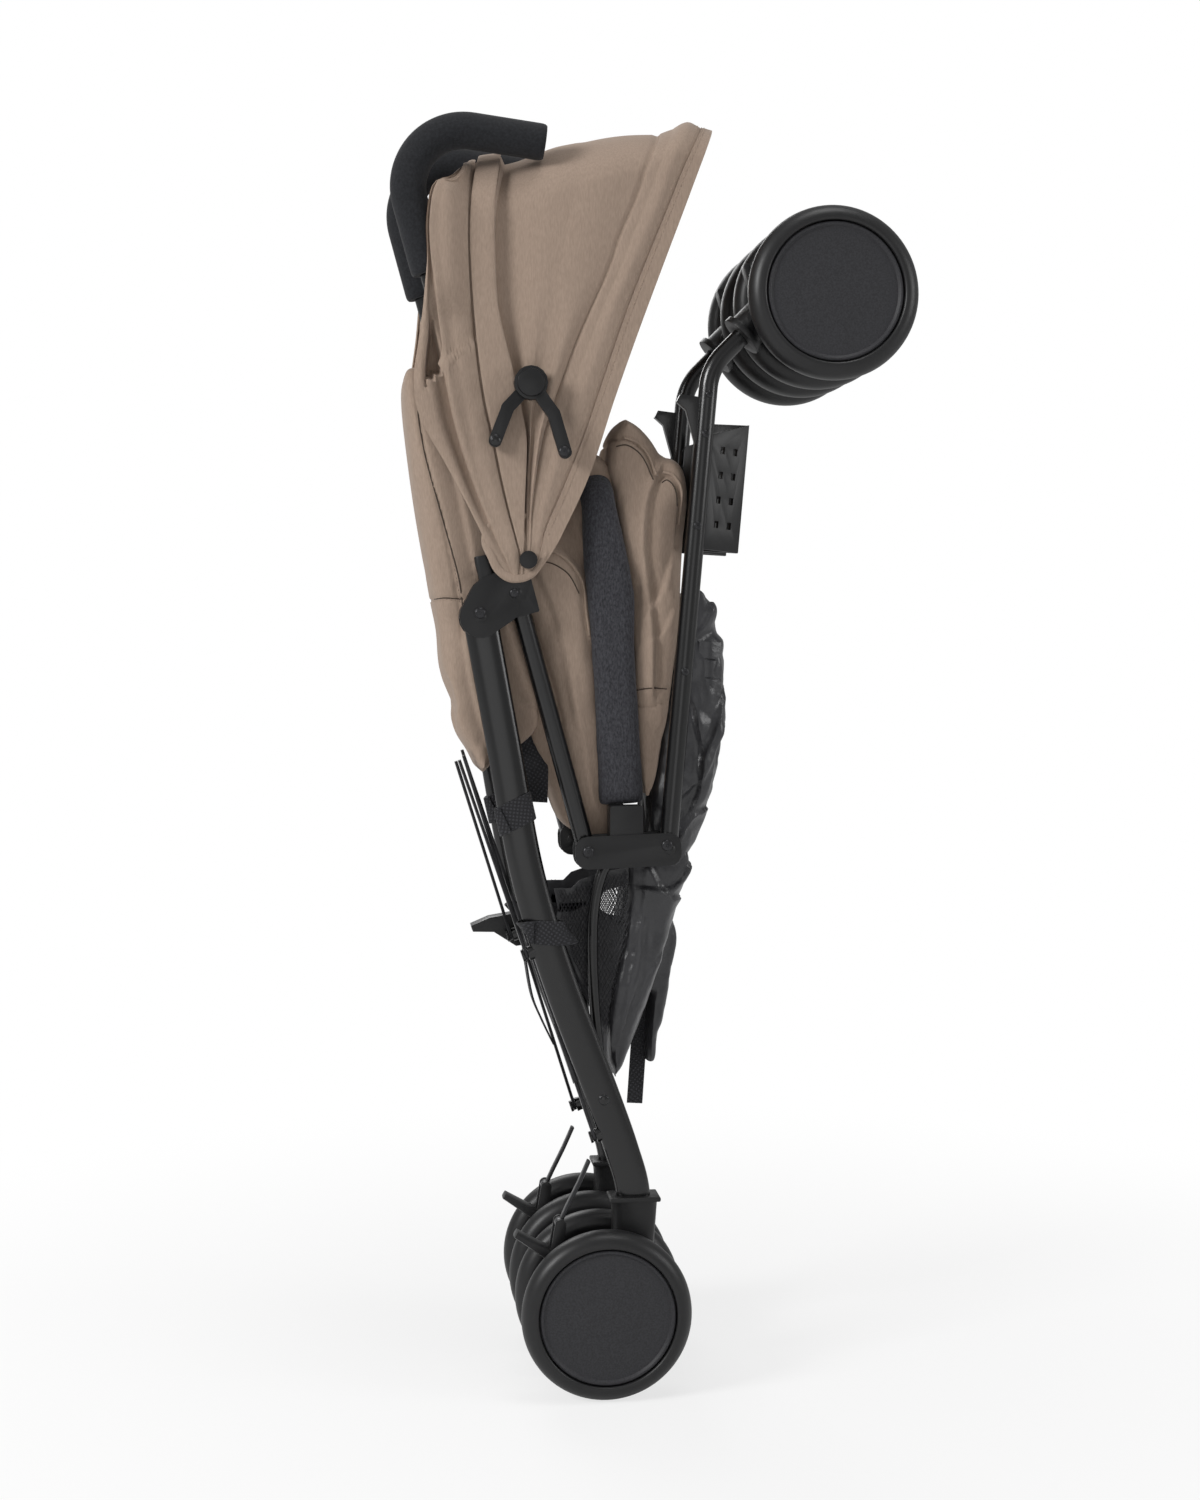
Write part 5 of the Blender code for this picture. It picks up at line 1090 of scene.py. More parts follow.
def puffed(name, lobes, pressure=3.0, cap_mm=5.0, slack=0.05):
    """Lobes are melted into one skin, which cloth pressure then fills and creases."""
    builder = bmesh.new()
    for outline, y_low, y_high, crown in lobes:
        lobe(builder, outline, y_low, y_high, crown)
    bmesh.ops.recalc_face_normals(builder, faces=builder.faces)
    piece = object_from(builder, name)
    modify(piece, "REMESH", mode="VOXEL", voxel_size=0.004)
    simulate(piece, pressure, cap_mm / 1000.0, slack)
    modify(piece, "SMOOTH", factor=0.5, iterations=3)
    modify(piece, "SUBSURF", levels=1, render_levels=1)
    return smooth(piece, 180.0)


def read_vectors(vertices, kind="co"):
    """The places or normals of a mesh's vertices as rows of three."""
    flat = np.empty(len(vertices) * 3)
    vertices.foreach_get(kind, flat)
    return flat.reshape(-1, 3)


def write_places(mesh, spots):
    mesh.vertices.foreach_set("co", spots.ravel())
    mesh.update()


def simulate(piece, pressure, cap, slack, frames=16):
    """Blow the cloth up a little, let it crease, cap how far each point moves and keep the result."""
    rest = read_vectors(piece.data.vertices)
    cloth = piece.modifiers.new("cloth", "CLOTH")
    for name, value in (("quality", 5), ("mass", 0.25), ("tension_stiffness", 12.0),
                        ("compression_stiffness", 12.0), ("bending_stiffness", 0.35), ("shrink_min", -slack),
                        ("use_pressure", True), ("uniform_pressure_force", pressure)):
        setattr(cloth.settings, name, value)
    cloth.settings.effector_weights.gravity = 0.0
    cloth.collision_settings.use_collision = False
    cloth.point_cache.frame_start = 1
    cloth.point_cache.frame_end = frames
    scene = bpy.context.scene
    for step in range(1, frames + 1):
        scene.frame_set(step)
    move = read_vectors(piece.evaluated_get(bpy.context.evaluated_depsgraph_get()).data.vertices) - rest
    piece.modifiers.remove(cloth)
    length = np.linalg.norm(move, axis=1, keepdims=True)
    write_places(piece.data, rest + move * (cap * np.tanh(length / cap) / np.maximum(length, 1e-9)))
    scene.frame_set(1)


def soft_line(line):
    """A drawn line with soft corners, still in millimetres of the side view."""
    return [(point.x, point.z) for point in side_curve(line, 6)]


def distances(spots, line):
    """How far each spot lies from a line of the side view in millimetres, plain and signed by its side."""
    nearest = np.full(len(spots), 1e9)
    signed = np.zeros(len(spots))
    corners = [np.array((AXLE_X + x / 1000.0, z / 1000.0)) for x, z in soft_line(line)]
    for start, end in zip(corners, corners[1:]):
        run = end - start
        part = np.clip(((spots - start) @ run) / (run @ run), 0.0, 1.0)
        away = spots - (start + part[:, None] * run)
        length = np.linalg.norm(away, axis=1)
        closer = length < nearest
        nearest = np.where(closer, length, nearest)
        signed = np.where(closer, np.sign(run[0] * away[:, 1] - run[1] * away[:, 0]) * length, signed)
    return nearest * 1000.0, signed * 1000.0


def shape_lines(piece, seams, folds):
    """Press seams into a soft part and lift its folds: (line, width, depth) and (line, height, reach)."""
    spots = read_vectors(piece.data.vertices)
    normals = read_vectors(piece.data.vertices, "normal")
    flat = spots[:, (0, 2)]
    move = np.zeros(len(spots))
    for line, width, depth in seams:
        nearest, _ = distances(flat, line)
        move -= depth * np.exp(-(nearest / width) ** 2)
    for line, height, reach in folds:
        nearest, signed = distances(flat, line)
        move += height * np.tanh(signed / FOLD_EDGE) * np.exp(-nearest / reach)
    write_places(piece.data, spots + normals * np.clip(move, -FOLD_LIMIT, FOLD_LIMIT)[:, None] / 1000.0)


def laid_line(name, piece, line, side, sink_mm):
    """A line of the side view brought onto a soft part, with the way out of the cloth at each point."""
    activate(piece)
    tree = BVHTree.FromObject(piece, bpy.context.evaluated_depsgraph_get())
    path = []
    for x, z in soft_line(line):
        hit, normal, _, _ = tree.ray_cast(place(x, z, side * 200.0), -side * Y_AXIS)
        if hit is not None:
            path.append((hit - normal * sink_mm / 1000.0, normal))
    if len(path) < 4:
        raise RuntimeError("the line of %s misses its cloth" % name)
    return path


def piping(name, piece, line, side, cloth):
    """Covered cord sewn along an edge of the cloth."""
    dia = sizes().piping_diameter * 1000.0
    path = [point for point, _ in laid_line(name, piece, line, side, -dia * 0.15)]
    cord = swept(name, resample(path, max(12, len(path) * 2)), round_section(dia, 10), CORD_ACROSS, 180.0)
    return dress(cord, cloth)


def seam_line(name, piece, line, side, seam_cord_shade):
    """The dark line of a closed seam: a cord much darker than the cloth, which paints the shade in the groove
    between two edges of cloth.
    """
    path = [point for point, _ in laid_line(name, piece, line, side, SEAM_DIA * 0.1)]
    return dress(swept(name, path, round_section(SEAM_DIA, 8), CORD_ACROSS, 180.0), seam_cord_shade)


def sewn_on(name, piece, line, side, cloth):
    """A row of stitches along a line of the side view."""
    return stitch_row(name, laid_line(name, piece, line, side, -0.15), cloth)


# Cushions, seen from the side

FOLD_EDGE = 1.6
FOLD_LIMIT = 9.0
SEAM_DIA = 1.3
CORD_ACROSS = Vector((0.3, 1.0, 0.2))
BACK_OUTLINE = [(-163, 860), (-163, 845), (-159, 815), (-151, 757), (-144, 716), (-136, 671), (-131, 645),
    (-130, 612), (-126, 582), (-119, 563), (-106, 544), (-98, 527), (-89, 548), (-86, 600), (-84, 670),
    (-84, 710), (-92, 745), (-116, 800), (-134, 842), (-143, 860)]
BACK_FOLD = [(-120, 672), (-122, 640), (-118, 600), (-108, 566), (-95, 546), (-84, 545), (-66, 553),
    (-52, 569), (-58, 600), (-72, 650), (-84, 684), (-104, 690)]
SEAT_WING = [(-60, 655), (-49, 625), (-38, 597), (-31, 565), (-22, 520), (-12, 484), (-5, 472), (7, 470),
    (10, 484), (6, 520), (0, 566), (-4, 612), (-8, 650), (-12, 672), (-17, 690), (-28, 703), (-43, 713),
    (-60, 722), (-72, 704), (-70, 672)]
SEAT_BACK = [(-66, 660), (-56, 600), (-59, 566), (-52, 543), (-44, 525), (-37, 507), (-28, 484), (-14, 476),
    (6, 490), (5, 566), (2, 640), (4, 700), (13, 738), (17, 756), (12, 777), (0, 791), (-12, 790),
    (-20, 770), (-34, 745), (-64, 725)]
LEG_REST_WING = [(20, 822), (15, 812), (9.5, 796), (9, 778), (16, 758), (22, 716), (29, 684), (31, 664),
    (31, 620), (32, 590), (34, 546), (37, 518), (41, 504), (49, 530), (54, 560), (60, 597), (64, 641),
    (60, 672), (50, 700), (47, 730), (52, 768), (53, 787), (46, 800), (33, 814)]
LEG_REST_FOLD = [(48, 772), (52, 786), (62, 788), (72, 780), (76.5, 766), (76, 752), (72, 738), (68, 700),
    (67, 660), (66, 640), (61, 598), (55, 560), (46, 580), (46, 640), (43, 690), (41, 715), (43, 750)]
# Seams are (line, width, depth) and folds (line, height, reach)
BACK_SEAMS = (([(-152, 860), (-153, 827), (-149, 800), (-144, 778), (-133, 738), (-120, 670),
            (-117, 640)], 1.3, 2), ([(-142, 671), (-130, 672), (-118, 671), (-106, 672)], 1.1, 1.6))
BACK_FOLDS = (([(-137, 850), (-128, 800), (-117, 750), (-108, 705)], 2.2, 7), ([(-116, 640), (-110, 600),
            (-100, 565), (-92, 545)], 2, 8), ([(-86, 600), (-76, 585), (-60, 580)], 1.8, 6))
SEAT_FOLDS = (([(-58, 716), (-41, 712), (-27, 703), (-15, 686), (-12, 664), (-9, 640)], 2.2, 5),
    ([(-52, 690), (-40, 660), (-30, 620), (-24, 580)], 1.5, 9), ([(-22, 740), (-14, 716),
            (-4, 690)], 2.4, 6), ([(-20, 600), (-14, 560), (-8, 520), (-4, 500)], -1.4, 6))
LEG_REST_SEAMS = (([(12, 806), (24, 806), (35, 799), (42, 789), (47, 774)], 1.4, 2.2), ([(50, 772),
            (57, 777), (66, 767), (69, 752), (66, 716)], 1.4, 2.2), ([(30, 594), (44, 596),
            (60, 595)], 1.0, 1.3), ([(30, 581), (44, 580), (58, 584)], 1.0, 1.3))
LEG_REST_FOLDS = (([(49, 774), (42, 757), (39, 735), (39, 712), (44, 680), (47, 640), (47, 600)], -5, 7),
    ([(60, 700), (54, 680), (46, 668)], 2.2, 6), ([(62, 660), (55, 645), (48, 640)], 1.8, 5), ([(34, 780),
            (34, 740), (36, 690), (34, 640)], 1.3, 8))
# Closed seams, drawn as dark cords that paint the shade in their grooves, and piping of each cushion
CLOSED_SEAMS = (("back", [(-152, 855), (-153, 827), (-149, 800), (-144, 778), (-133, 738), (-120, 690),
            (-116, 660)]), ("back", [(-142, 671), (-130, 672), (-118, 671)]), ("seat", [(-55, 703),
            (-41, 701), (-27, 692), (-18, 676)]), ("leg_rest", [(14, 800), (23, 801), (33, 795), (40, 785),
            (45, 772)]), ("leg_rest", [(53, 770), (58, 772), (64, 764), (66, 750)]), ("leg_rest",
        [(32, 594), (44, 596), (58, 595)]))
PIPINGS = (("seat", "seat_piping", [(-58, 716), (-41, 712), (-27, 703), (-15, 686), (-12, 664), (-9, 640)]),
    ("leg_rest", "leg_rest_piping", [(20, 808), (33, 803), (43, 791), (48, 776)]),
    ("leg_rest", "leg_rest_edge", [(54, 779), (63, 776), (70, 762), (68, 735)]))


def make_cushions(cloth, seam_cord_shade):
    """Backrest, seat and leg rest: filled skins with seams and folds, then their piping, stitches and dark
    seam cords of painted shade.
    """
    half = CUSHION_Y
    back = puffed("backrest_cloth", [(BACK_OUTLINE, -half, half, 4.0), (BACK_FOLD, 1.0 - half, half - 1.0,
                                                                        4.0)])
    shape_lines(back, BACK_SEAMS, BACK_FOLDS)
    seat = puffed("seat_cloth", [(SEAT_WING, -half - 1.0, 16.0 - half, 5.0),
                                 (SEAT_WING, half - 16.0, half + 1.0, 5.0),
                                 (SEAT_BACK, 9.0 - half, half - 9.0, 6.0)])
    shape_lines(seat, (), SEAT_FOLDS)
    rest = puffed("leg_rest_pad", [(LEG_REST_WING, 1.0 - half, half - 1.0, 5.0),
                                   (LEG_REST_FOLD, -half, half, 4.0)])
    shape_lines(rest, LEG_REST_SEAMS, LEG_REST_FOLDS)
    cushions = {"back": back, "seat": seat, "leg_rest": rest}
    trims = []
    for side, word in SIDES:
        # Closed seams: dark cords that paint the shade in the seams' grooves
        for number, (key, line) in enumerate(CLOSED_SEAMS):
            trims.append((key, seam_line("seam_%s_%d" % (word, number), cushions[key], line, side, seam_cord_shade),
                          seam_cord_shade))
        for number, (line, _, _) in enumerate(BACK_SEAMS):
            beside = [(x + 1.8, z - 1.8) for x, z in line]
            trims.append(("back", sewn_on("pocket_stitches_%s_%d" % (word, number), back, beside, side,
                                          cloth), cloth))
        for key, name, line in PIPINGS:
            trims.append((key, piping(name + "_" + word, cushions[key], line, side, cloth), cloth))
        for number in (2, 3):
            trims.append(("leg_rest", sewn_on("band_stitches_%s_%d" % (word, number), rest,
                                              LEG_REST_SEAMS[number][0], side, cloth), cloth))
    span(back, cloth, "taupe_cloth", "frame_right", "frame_left", "backrest")
    span(seat, cloth, "taupe_cloth", "frame_right", "frame_left", "seat")
    span(rest, cloth, "taupe_cloth", "front_leg_right", "leg_rest_left", "leg_rest_right", "leg_rest_left")
    for key, trim, material in trims:
        pair = ("front_leg_right", "leg_rest_left") if key == "leg_rest" else ("frame_right", "frame_left")
        span(trim, material, "taupe_cloth", *pair)


# Bumper bar: places of its middle line, and how deep its sleeve is there
BUMPER_Y = 48.0
BUMPER_CORNER = 0.024
BUMPER_STATIONS = ((17.9, 497.5, 39.5), (16.4, 535, 37.2), (13.6, 591, 36), (11, 632, 36), (9.5, 670, 40),
    (5.5, 700, 38), (2, 725, 34), (-0.5, 745, 29))


def sleeve_depth(share):
    """Depth of the sleeve at a share of its leg."""
    depths = [depth for _, _, depth in BUMPER_STATIONS]
    index = min(share, 1.0) * (len(depths) - 1)
    low = min(int(index), len(depths) - 2)
    return depths[low] + (depths[low + 1] - depths[low]) * (index - low)


def sleeve_half(side):
    """One leg of the sleeve and its half of the top."""
    path = curve_through([place(x, z, side * BUMPER_Y) for x, z, _ in BUMPER_STATIONS], 6)
    leg_count = len(path) - 1
    corner = path[-1]
    for step in range(1, 13):
        angle = step / 12.0 * math.pi / 2.0
        path.append(Vector((corner.x - 0.004 * step / 12.0, side * BUMPER_CORNER * (1.0 + math.cos(angle)),
                            corner.z + BUMPER_CORNER * math.sin(angle))))
    path.append(Vector((path[-1].x, 0.0, path[-1].z)))
    return swept("sleeve_half", path, lambda share: oval(
        sleeve_depth(share * (len(path) - 1) / leg_count) * 1.03, 24.0, 28, 2.6), Vector((0.0, 1.0, 0.001)))


def make_bumper(cloth):
    """Sleeve of the bumper bar: two legs and a rounded top in one skin."""
    builder = bmesh.new()
    for side, _ in SIDES:
        part = sleeve_half(side)
        builder.from_mesh(part.data)
        bpy.data.objects.remove(part, do_unlink=True)
    piece = object_from(builder, "bumper_sleeve")
    modify(piece, "REMESH", mode="VOXEL", voxel_size=0.0035)
    modify(piece, "SMOOTH", factor=0.6, iterations=6)
    modify(piece, "SUBSURF", levels=1, render_levels=1)
    smooth(piece, 180.0)
    span(piece, cloth, "grey_sleeve", "link_right", "bumper_left", "bumper_right", "bumper_left")


# Basket, seen from the side

BASKET_BANDS = (628.0, 612.0, 596.0)
BASKET_TOP = [(85, 681), (97, 668), (101, 655), (101, 640), (108, 632), (109, 600), (109, 543), (102, 513),
    (93, 488), (82, 464), (74, 448), (60, 442), (44, 446), (41, 470), (43, 500), (50, 530), (56, 570),
    (62, 610), (66, 645), (72, 670)]
BASKET_LOW = [(80, 452), (81.5, 437), (73, 420), (64, 395), (57, 365), (44, 329), (30, 294), (17, 265),
    (12, 268), (6.5, 291), (9, 319), (18, 357), (25.5, 396), (26, 440), (30, 456), (60, 462)]
BASKET_STRIP = [(66, 392), (73, 378), (66.5, 311), (61, 291), (59, 268), (50, 268), (51, 311), (54, 350)]
BASKET_FOLDS = (([(78, 585), (84, 560), (88, 530), (84, 500), (70, 470)], 3.5, 10), ([(108, 585), (98, 560),
            (90, 540)], 3, 8), ([(98, 668), (90, 650), (80, 640)], 2.4, 6), ([(109, 560), (100, 535),
            (88, 515), (76, 505)], -3, 9), ([(92, 490), (80, 486), (64, 470)], 3, 8))
LOWER_FOLDS = (([(38.5, 441), (37.5, 413), (28, 361), (20, 312), (13, 280)], 1.6, 2.4), ([(78, 440),
            (64, 425), (44, 424)], 3, 8), ([(72, 415), (60, 418), (46, 440)], 2.4, 7), ([(52, 360),
            (40, 340), (24, 300)], 1.8, 7), ([(40, 390), (36, 350), (24, 310)], -2, 8))
NET_EDGE = ((-36, 426), (-23, 423), (-16, 430), (-5.5, 433.5), (10, 438), (27.5, 441), (27.5, 396),
    (20, 357), (11, 318), (7, 296), (-2, 315), (-18, 350), (-34, 396))
# Dark lining behind the net: above and round its window, then below it
LINING = (((-38, 424), (-23, 424), (-16, 431), (-5.5, 434.5), (10, 439), (27.5, 442), (27.5, 428),
        (16, 424), (7.5, 422), (-6, 412), (-22, 404), (-34, 404)), ((-33, 411), (-12, 412), (8, 399),
        (16, 393), (26, 391), (20, 357), (11, 318), (7, 296), (-2, 315), (-18, 350), (-36, 398)))


def crinkle(piece, size_mm, depth_mm):
    """Sharp little creases of thin cloth that has been pushed together."""
    pattern = bpy.data.textures.new(piece.name + "_creases", "VORONOI")
    pattern.noise_scale = size_mm / 1000.0
    pattern.weight_1 = -1.0
    pattern.weight_2 = 1.0
    modify(piece, "DISPLACE", texture=pattern, texture_coords="LOCAL", strength=depth_mm / 1000.0,
           mid_level=0.35)
    modify(piece, "SMOOTH", factor=0.4, iterations=1)
    smooth(piece, 180.0)


def make_basket(cloth, net):
    """The basket's thin nylon: its upper half hangs from the front legs, its lower half is behind."""
    half = BASKET_Y
    upper = puffed("basket_upper", [(BASKET_TOP, -half, half, 4.0)], 2.5, 6.0, 0.08)
    shape_lines(upper, (), BASKET_FOLDS)
    crinkle(upper, 30.0, 8.0)
    span(upper, cloth, "black_nylon", "front_leg_right", "leg_rest_left", "basket_front")
    lower = puffed("basket_lower", [(BASKET_LOW, 1.0 - half, half - 1.0, 4.0),
                                    (BASKET_STRIP, 4.0, half - 3.0, 3.0)],
                   2.5, 6.0, 0.08)
    shape_lines(lower, (), LOWER_FOLDS)
    crinkle(lower, 36.0, 5.0)
    span(lower, cloth, "black_nylon", "rear_leg_right", "basket_left", "basket_rear_right",
         "basket_rear_left")
    for (side, word), carrier in zip(SIDES, ("rear_leg_right", "basket_left")):
        fit(net_panel("basket_net_" + word, side * (half - 2.0)), net, "black_nylon", carrier)
        for number, outline in enumerate(LINING):
            panel = flat_panel("basket_lining_%s_%d" % (word, number), outline, side * (half - 8.0))
            fit(panel, cloth, "black_nylon", carrier)
    for (side, word), carrier in zip(SIDES, ("front_leg_right", "leg_rest_left")):
        for number, height in enumerate(BASKET_BANDS):
            corners = ((86.0, height + 1.0, side * (half + 0.4)), (96.0, height, side * (half + 1.4)),
                       (105.5, height - 0.5, side * (half - 3.0)))
            strap("basket_band_%s_%d" % (word, number), corners, 15.2, cloth, carrier, Z_AXIS)


def net_panel(name, y_mm, cord_mm=0.9):
    """Knitted net as real cords, cut to its outline: diamonds in rows, each row half a cell along."""
    cell = sizes().net_cell * 1000.0
    builder = bmesh.new()
    left, low = (min(corner[axis] for corner in NET_EDGE) for axis in (0, 1))
    right, high = (max(corner[axis] for corner in NET_EDGE) for axis in (0, 1))
    grid = {}
    for i in range(int((right - left) / cell) + 2):
        for j in range(int((high - low) / cell) + 2):
            x = left + (i + 0.5 * (j % 2)) * cell
            z = low + j * cell
            if inside(x, z, NET_EDGE):
                slack = 0.8 * math.sin(x * 0.35) * math.cos(z * 0.22)
                grid[i, j] = builder.verts.new(place(x, z, y_mm + slack))
    for i, j in grid:
        shift = j % 2
        corners = ((i, j), (i + shift, j + 1), (i, j + 2), (i + shift - 1, j + 1))
        if all(corner in grid for corner in corners):
            builder.faces.new([grid[corner] for corner in corners])
    loose = [vertex for vertex in builder.verts if not vertex.link_faces]
    bmesh.ops.delete(builder, geom=loose, context="VERTS")
    panel = object_from(builder, name)
    modify(panel, "WIREFRAME", thickness=cord_mm / 1000.0, use_replace=True)
    return panel


def flat_panel(name, outline, y_mm, thickness_mm=0.8):
    """A piece of thin cloth cut to its outline."""
    builder = bmesh.new()
    near, far = ([builder.verts.new(place(x, z, y_mm + half)) for x, z in outline]
                 for half in (-thickness_mm / 2.0, thickness_mm / 2.0))
    bridge(builder, (far, near))
    builder.faces.new(near)
    builder.faces.new(list(reversed(far)))
    bmesh.ops.recalc_face_normals(builder, faces=builder.faces)
    bmesh.ops.triangulate(builder, faces=[face for face in builder.faces if len(face.verts) > 4])
    return object_from(builder, name)


def inside(x, z, outline):
    """Whether a place of the side view lies within an outline."""
    crossings = 0
    for (x0, z0), (x1, z1) in zip(outline, outline[1:] + outline[:1]):
        if (z0 > z) != (z1 > z) and x < x0 + (x1 - x0) * (z - z0) / (z1 - z0):
            crossings += 1
    return crossings % 2 == 1


# Webbing: loops are (name, x, z, slope, width, slack), straps are corners of (x, z, y)

LEG_DOWN = Vector((0.33, 0.0, -0.94)).normalized()
LEG_AHEAD = Vector((-LEG_DOWN.z, 0.0, LEG_DOWN.x))
LOOPS = (("upper_loop", -73.5, 491.5, 0.12, 23.5, 0.0), ("lower_loop", -48.0, 391.0, -0.42, 20.5, 3.0))
LOOP_TAIL = ((-58.0, 575.0, 33.0), (-56.0, 550.0, 36.0), (-54.5, 525.0, 41.0), (-56.0, 500.0, 50.0))
BRACE_WEBBING = ((-62.0, 372.0, -4.0), (-60.0, 356.0, -6.0), (-55.0, 328.0, -8.0), (-46.5, 307.0, -8.0),
                 (-37.0, 287.0, -6.0))
BASKET_TIE = ((47.5, 345.0, 20.0), (45.0, 310.0, 20.0), (42.0, 265.0, 20.0), (39.3, 225.0, 20.0))


def webbing_section(width_mm):
    """Flat section with soft edges: thickness first, then width."""
    a = sizes().webbing_thickness * 500.0
    b = width_mm / 2.0
    return metres([(-a, 0.4 - b), (-a * 0.3, -b), (a * 0.3, -b), (a, 0.4 - b), (a, b - 0.4), (a * 0.3, b),
                   (-a * 0.3, b), (-a, b - 0.4)])


def webbing_loop(name, x, z, slope, width_mm, slack_mm, side):
    """Loop of webbing round the rear leg, with its end sewn over its start."""
    centre = place(x, z, side * FRAME_Y)
    path = []
    for step in range(73):
        angle = math.radians(200.0) + 2.0 * math.pi * 1.12 * step / 72.0
        off = 1.4 + 1.9 * rise(step / 72.0, 0.80, 0.92)
        c, s = math.cos(angle), math.sin(angle)
        ahead = boxed(c, 2.8) * (LEG_SECTION[0] / 2.0 + off + (slack_mm if c > 0.0 else 0.0))
        out = boxed(s, 2.8) * (LEG_SECTION[1] / 2.0 + off)
        path.append(centre + (LEG_AHEAD * ahead + Y_AXIS * out - LEG_DOWN * ahead * slope) / 1000.0)
    return swept(name, path, webbing_section(width_mm), LEG_DOWN - LEG_AHEAD * slope, 40.0)


def strap(name, corners, width_mm, material, body, across=Y_AXIS):
    """A flat strap through corners of (x, z, y)."""
    path = curve_through([place(x, z, y) for x, z, y in corners], 10)
    return fit(swept(name, path, webbing_section(width_mm), across, 40.0), material, "black_nylon", body)


def make_webbing(web):
    """Straps that hold the basket and seat to the legs."""
    for side, word in SIDES:
        body = "rear_leg_" + word
        for name, x, z, slope, width, slack in LOOPS:
            loop = webbing_loop(name + "_" + word, x, z, slope, width, slack, side)
            fit(loop, web, "black_nylon", body)
        strap("loop_tail_" + word, [(x, z, side * y) for x, z, y in LOOP_TAIL], 22.0, web, body, X_AXIS)
    strap("brace_webbing", BRACE_WEBBING, 22.0, web, "rear_leg_right")
    strap("basket_tie", BASKET_TIE, 14.0, web, "basket_left", X_AXIS)


# Stage

WHITE = (1.0, 1.0, 1.0, 1.0)
CAMERA_FORWARD = Vector((0.11998, 0.99149, -0.05059)).normalized()
CAMERA_TURN = math.radians(6.9)
CAMERA_PLACE = Vector((AXLE_X - 0.21883, -1.85716, 0.63573))
CAMERA_LENS = 51.53
LIGHTS_TARGET = Vector((0.0, 0.0, 0.55))
# Name, place in metres, width in metres and watts
LIGHTS = (("key", (-2.3, -1.3, 1.9), 0.9, 50.0), ("side", (2.3, -1.1, 1.3), 1.0, 15.0),
          ("back", (-0.6, 2.2, 1.9), 1.4, 20.0), ("top", (0.3, -0.5, 2.7), 0.9, 11.0),
          ("front", (-0.2, -2.8, 0.7), 1.3, 4.0))


def math_node(tree, operation, first, second):
    """A math node; each side is another node's output or a plain value."""
    sides = ((0, first), (1, second))
    return add_node(tree, "ShaderNodeMath", {key: value for key, value in sides if isinstance(value, float)},
                    {key: value for key, value in sides if not isinstance(value, float)},
                    operation=operation).outputs["Value"]


def white_rays(tree, mirror_share):
    """How white the surroundings are: fully for the camera, partly for what mirrors or passes them."""
    rays = add_node(tree, "ShaderNodeLightPath").outputs
    mirrored = math_node(tree, "MAXIMUM", rays["Is Glossy Ray"], rays["Is Transmission Ray"])
    return math_node(tree, "MAXIMUM", math_node(tree, "MULTIPLY", mirrored, mirror_share),
                     rays["Is Camera Ray"])


def mix_into(tree, output, factor, first, second):
    """Mix two shaders and lead them to the tree's output."""
    mixed = add_node(tree, "ShaderNodeMixShader", links={0: factor, 1: first, 2: second})
    tree.links.new(mixed.outputs["Shader"], tree.nodes[output].inputs["Surface"])


def make_camera():
    """Camera where the photo was taken from."""
    data = bpy.data.cameras.new("camera")
    data.lens = CAMERA_LENS
    data.sensor_width = 36.0
    camera = bpy.data.objects.new("camera", data)
    bpy.context.scene.collection.objects.link(camera)
    right = Vector((math.cos(CAMERA_TURN), -math.sin(CAMERA_TURN), 0.0))
    up = right.cross(CAMERA_FORWARD).normalized()
    turn = Matrix((right, up, -CAMERA_FORWARD)).transposed().to_4x4()
    camera.matrix_world = Matrix.Translation(CAMERA_PLACE) @ turn
    bpy.context.scene.camera = camera


def make_floor(colour):
    """Pale floor: plain white away from the stroller and a little darker where its shadow falls."""
    surface = Surface("studio_floor", 0.9, Base_Color=colour)
    tree = surface.tree
    away = add_node(tree, "ShaderNodeVectorMath", links={0: surface.where.outputs["Object"]},
                    operation="LENGTH")
    fade = add_node(tree, "ShaderNodeMapRange", {"From Min": 0.15, "From Max": 1.1, "To Min": 0.72},
                    {"Value": away.outputs["Value"]}, interpolation_type="SMOOTHSTEP")
    white = add_node(tree, "ShaderNodeEmission", {"Color": WHITE, "Strength": 1.0})
    kept = math_node(tree, "MULTIPLY", white_rays(tree, 0.35), fade.outputs["Result"])
    mix_into(tree, "Material Output", kept, surface.shader.outputs["BSDF"], white.outputs["Emission"])
    deselect_all()
    bpy.ops.mesh.primitive_plane_add(size=16.0, location=(0.0, 0.0, 0.0))
    floor = bpy.context.object
    floor.name = "studio_floor"
    floor.data.materials.append(surface.material)


def make_world(strength):
    """White surroundings that light the stroller softly and look plain white."""
    world = bpy.data.worlds.new("studio")
    bpy.context.scene.world = world
    world.use_nodes = True
    tree = world.node_tree
    soft = tree.nodes["Background"]
    soft.inputs["Color"].default_value = WHITE
    soft.inputs["Strength"].default_value = strength
    pale = add_node(tree, "ShaderNodeBackground", {"Color": WHITE, "Strength": 1.0})
    mix_into(tree, "World Output", white_rays(tree, 0.25), soft.outputs["Background"],
             pale.outputs["Background"])


def make_lights():
    """Soft square lamps that face the middle of the stroller."""
    for name, spot, width, watts in LIGHTS:
        data = bpy.data.lights.new(name, "AREA")
        data.size = width
        data.energy = watts
        lamp = bpy.data.objects.new(name, data)
        bpy.context.scene.collection.objects.link(lamp)
        away = (Vector(spot) - LIGHTS_TARGET).normalized()
        across = Z_AXIS.cross(away).normalized()
        turn = Matrix((across, away.cross(across), away)).transposed().to_4x4()
        lamp.matrix_world = Matrix.Translation(Vector(spot)) @ turn


# Settings and buttons

def colour_setting(name, text, hex_default):
    return bpy.props.FloatVectorProperty(name=name, description=text, default=linear(hex_default), size=4,
                                         min=0.0, max=1.0, subtype="COLOR")


def size_setting(name, text, default_mm, low_mm, high_mm):
    return bpy.props.FloatProperty(name=name, description=text, default=default_mm / 1000.0,
                                   min=low_mm / 1000.0,
                                   max=high_mm / 1000.0, precision=4, subtype="DISTANCE", unit="LENGTH")


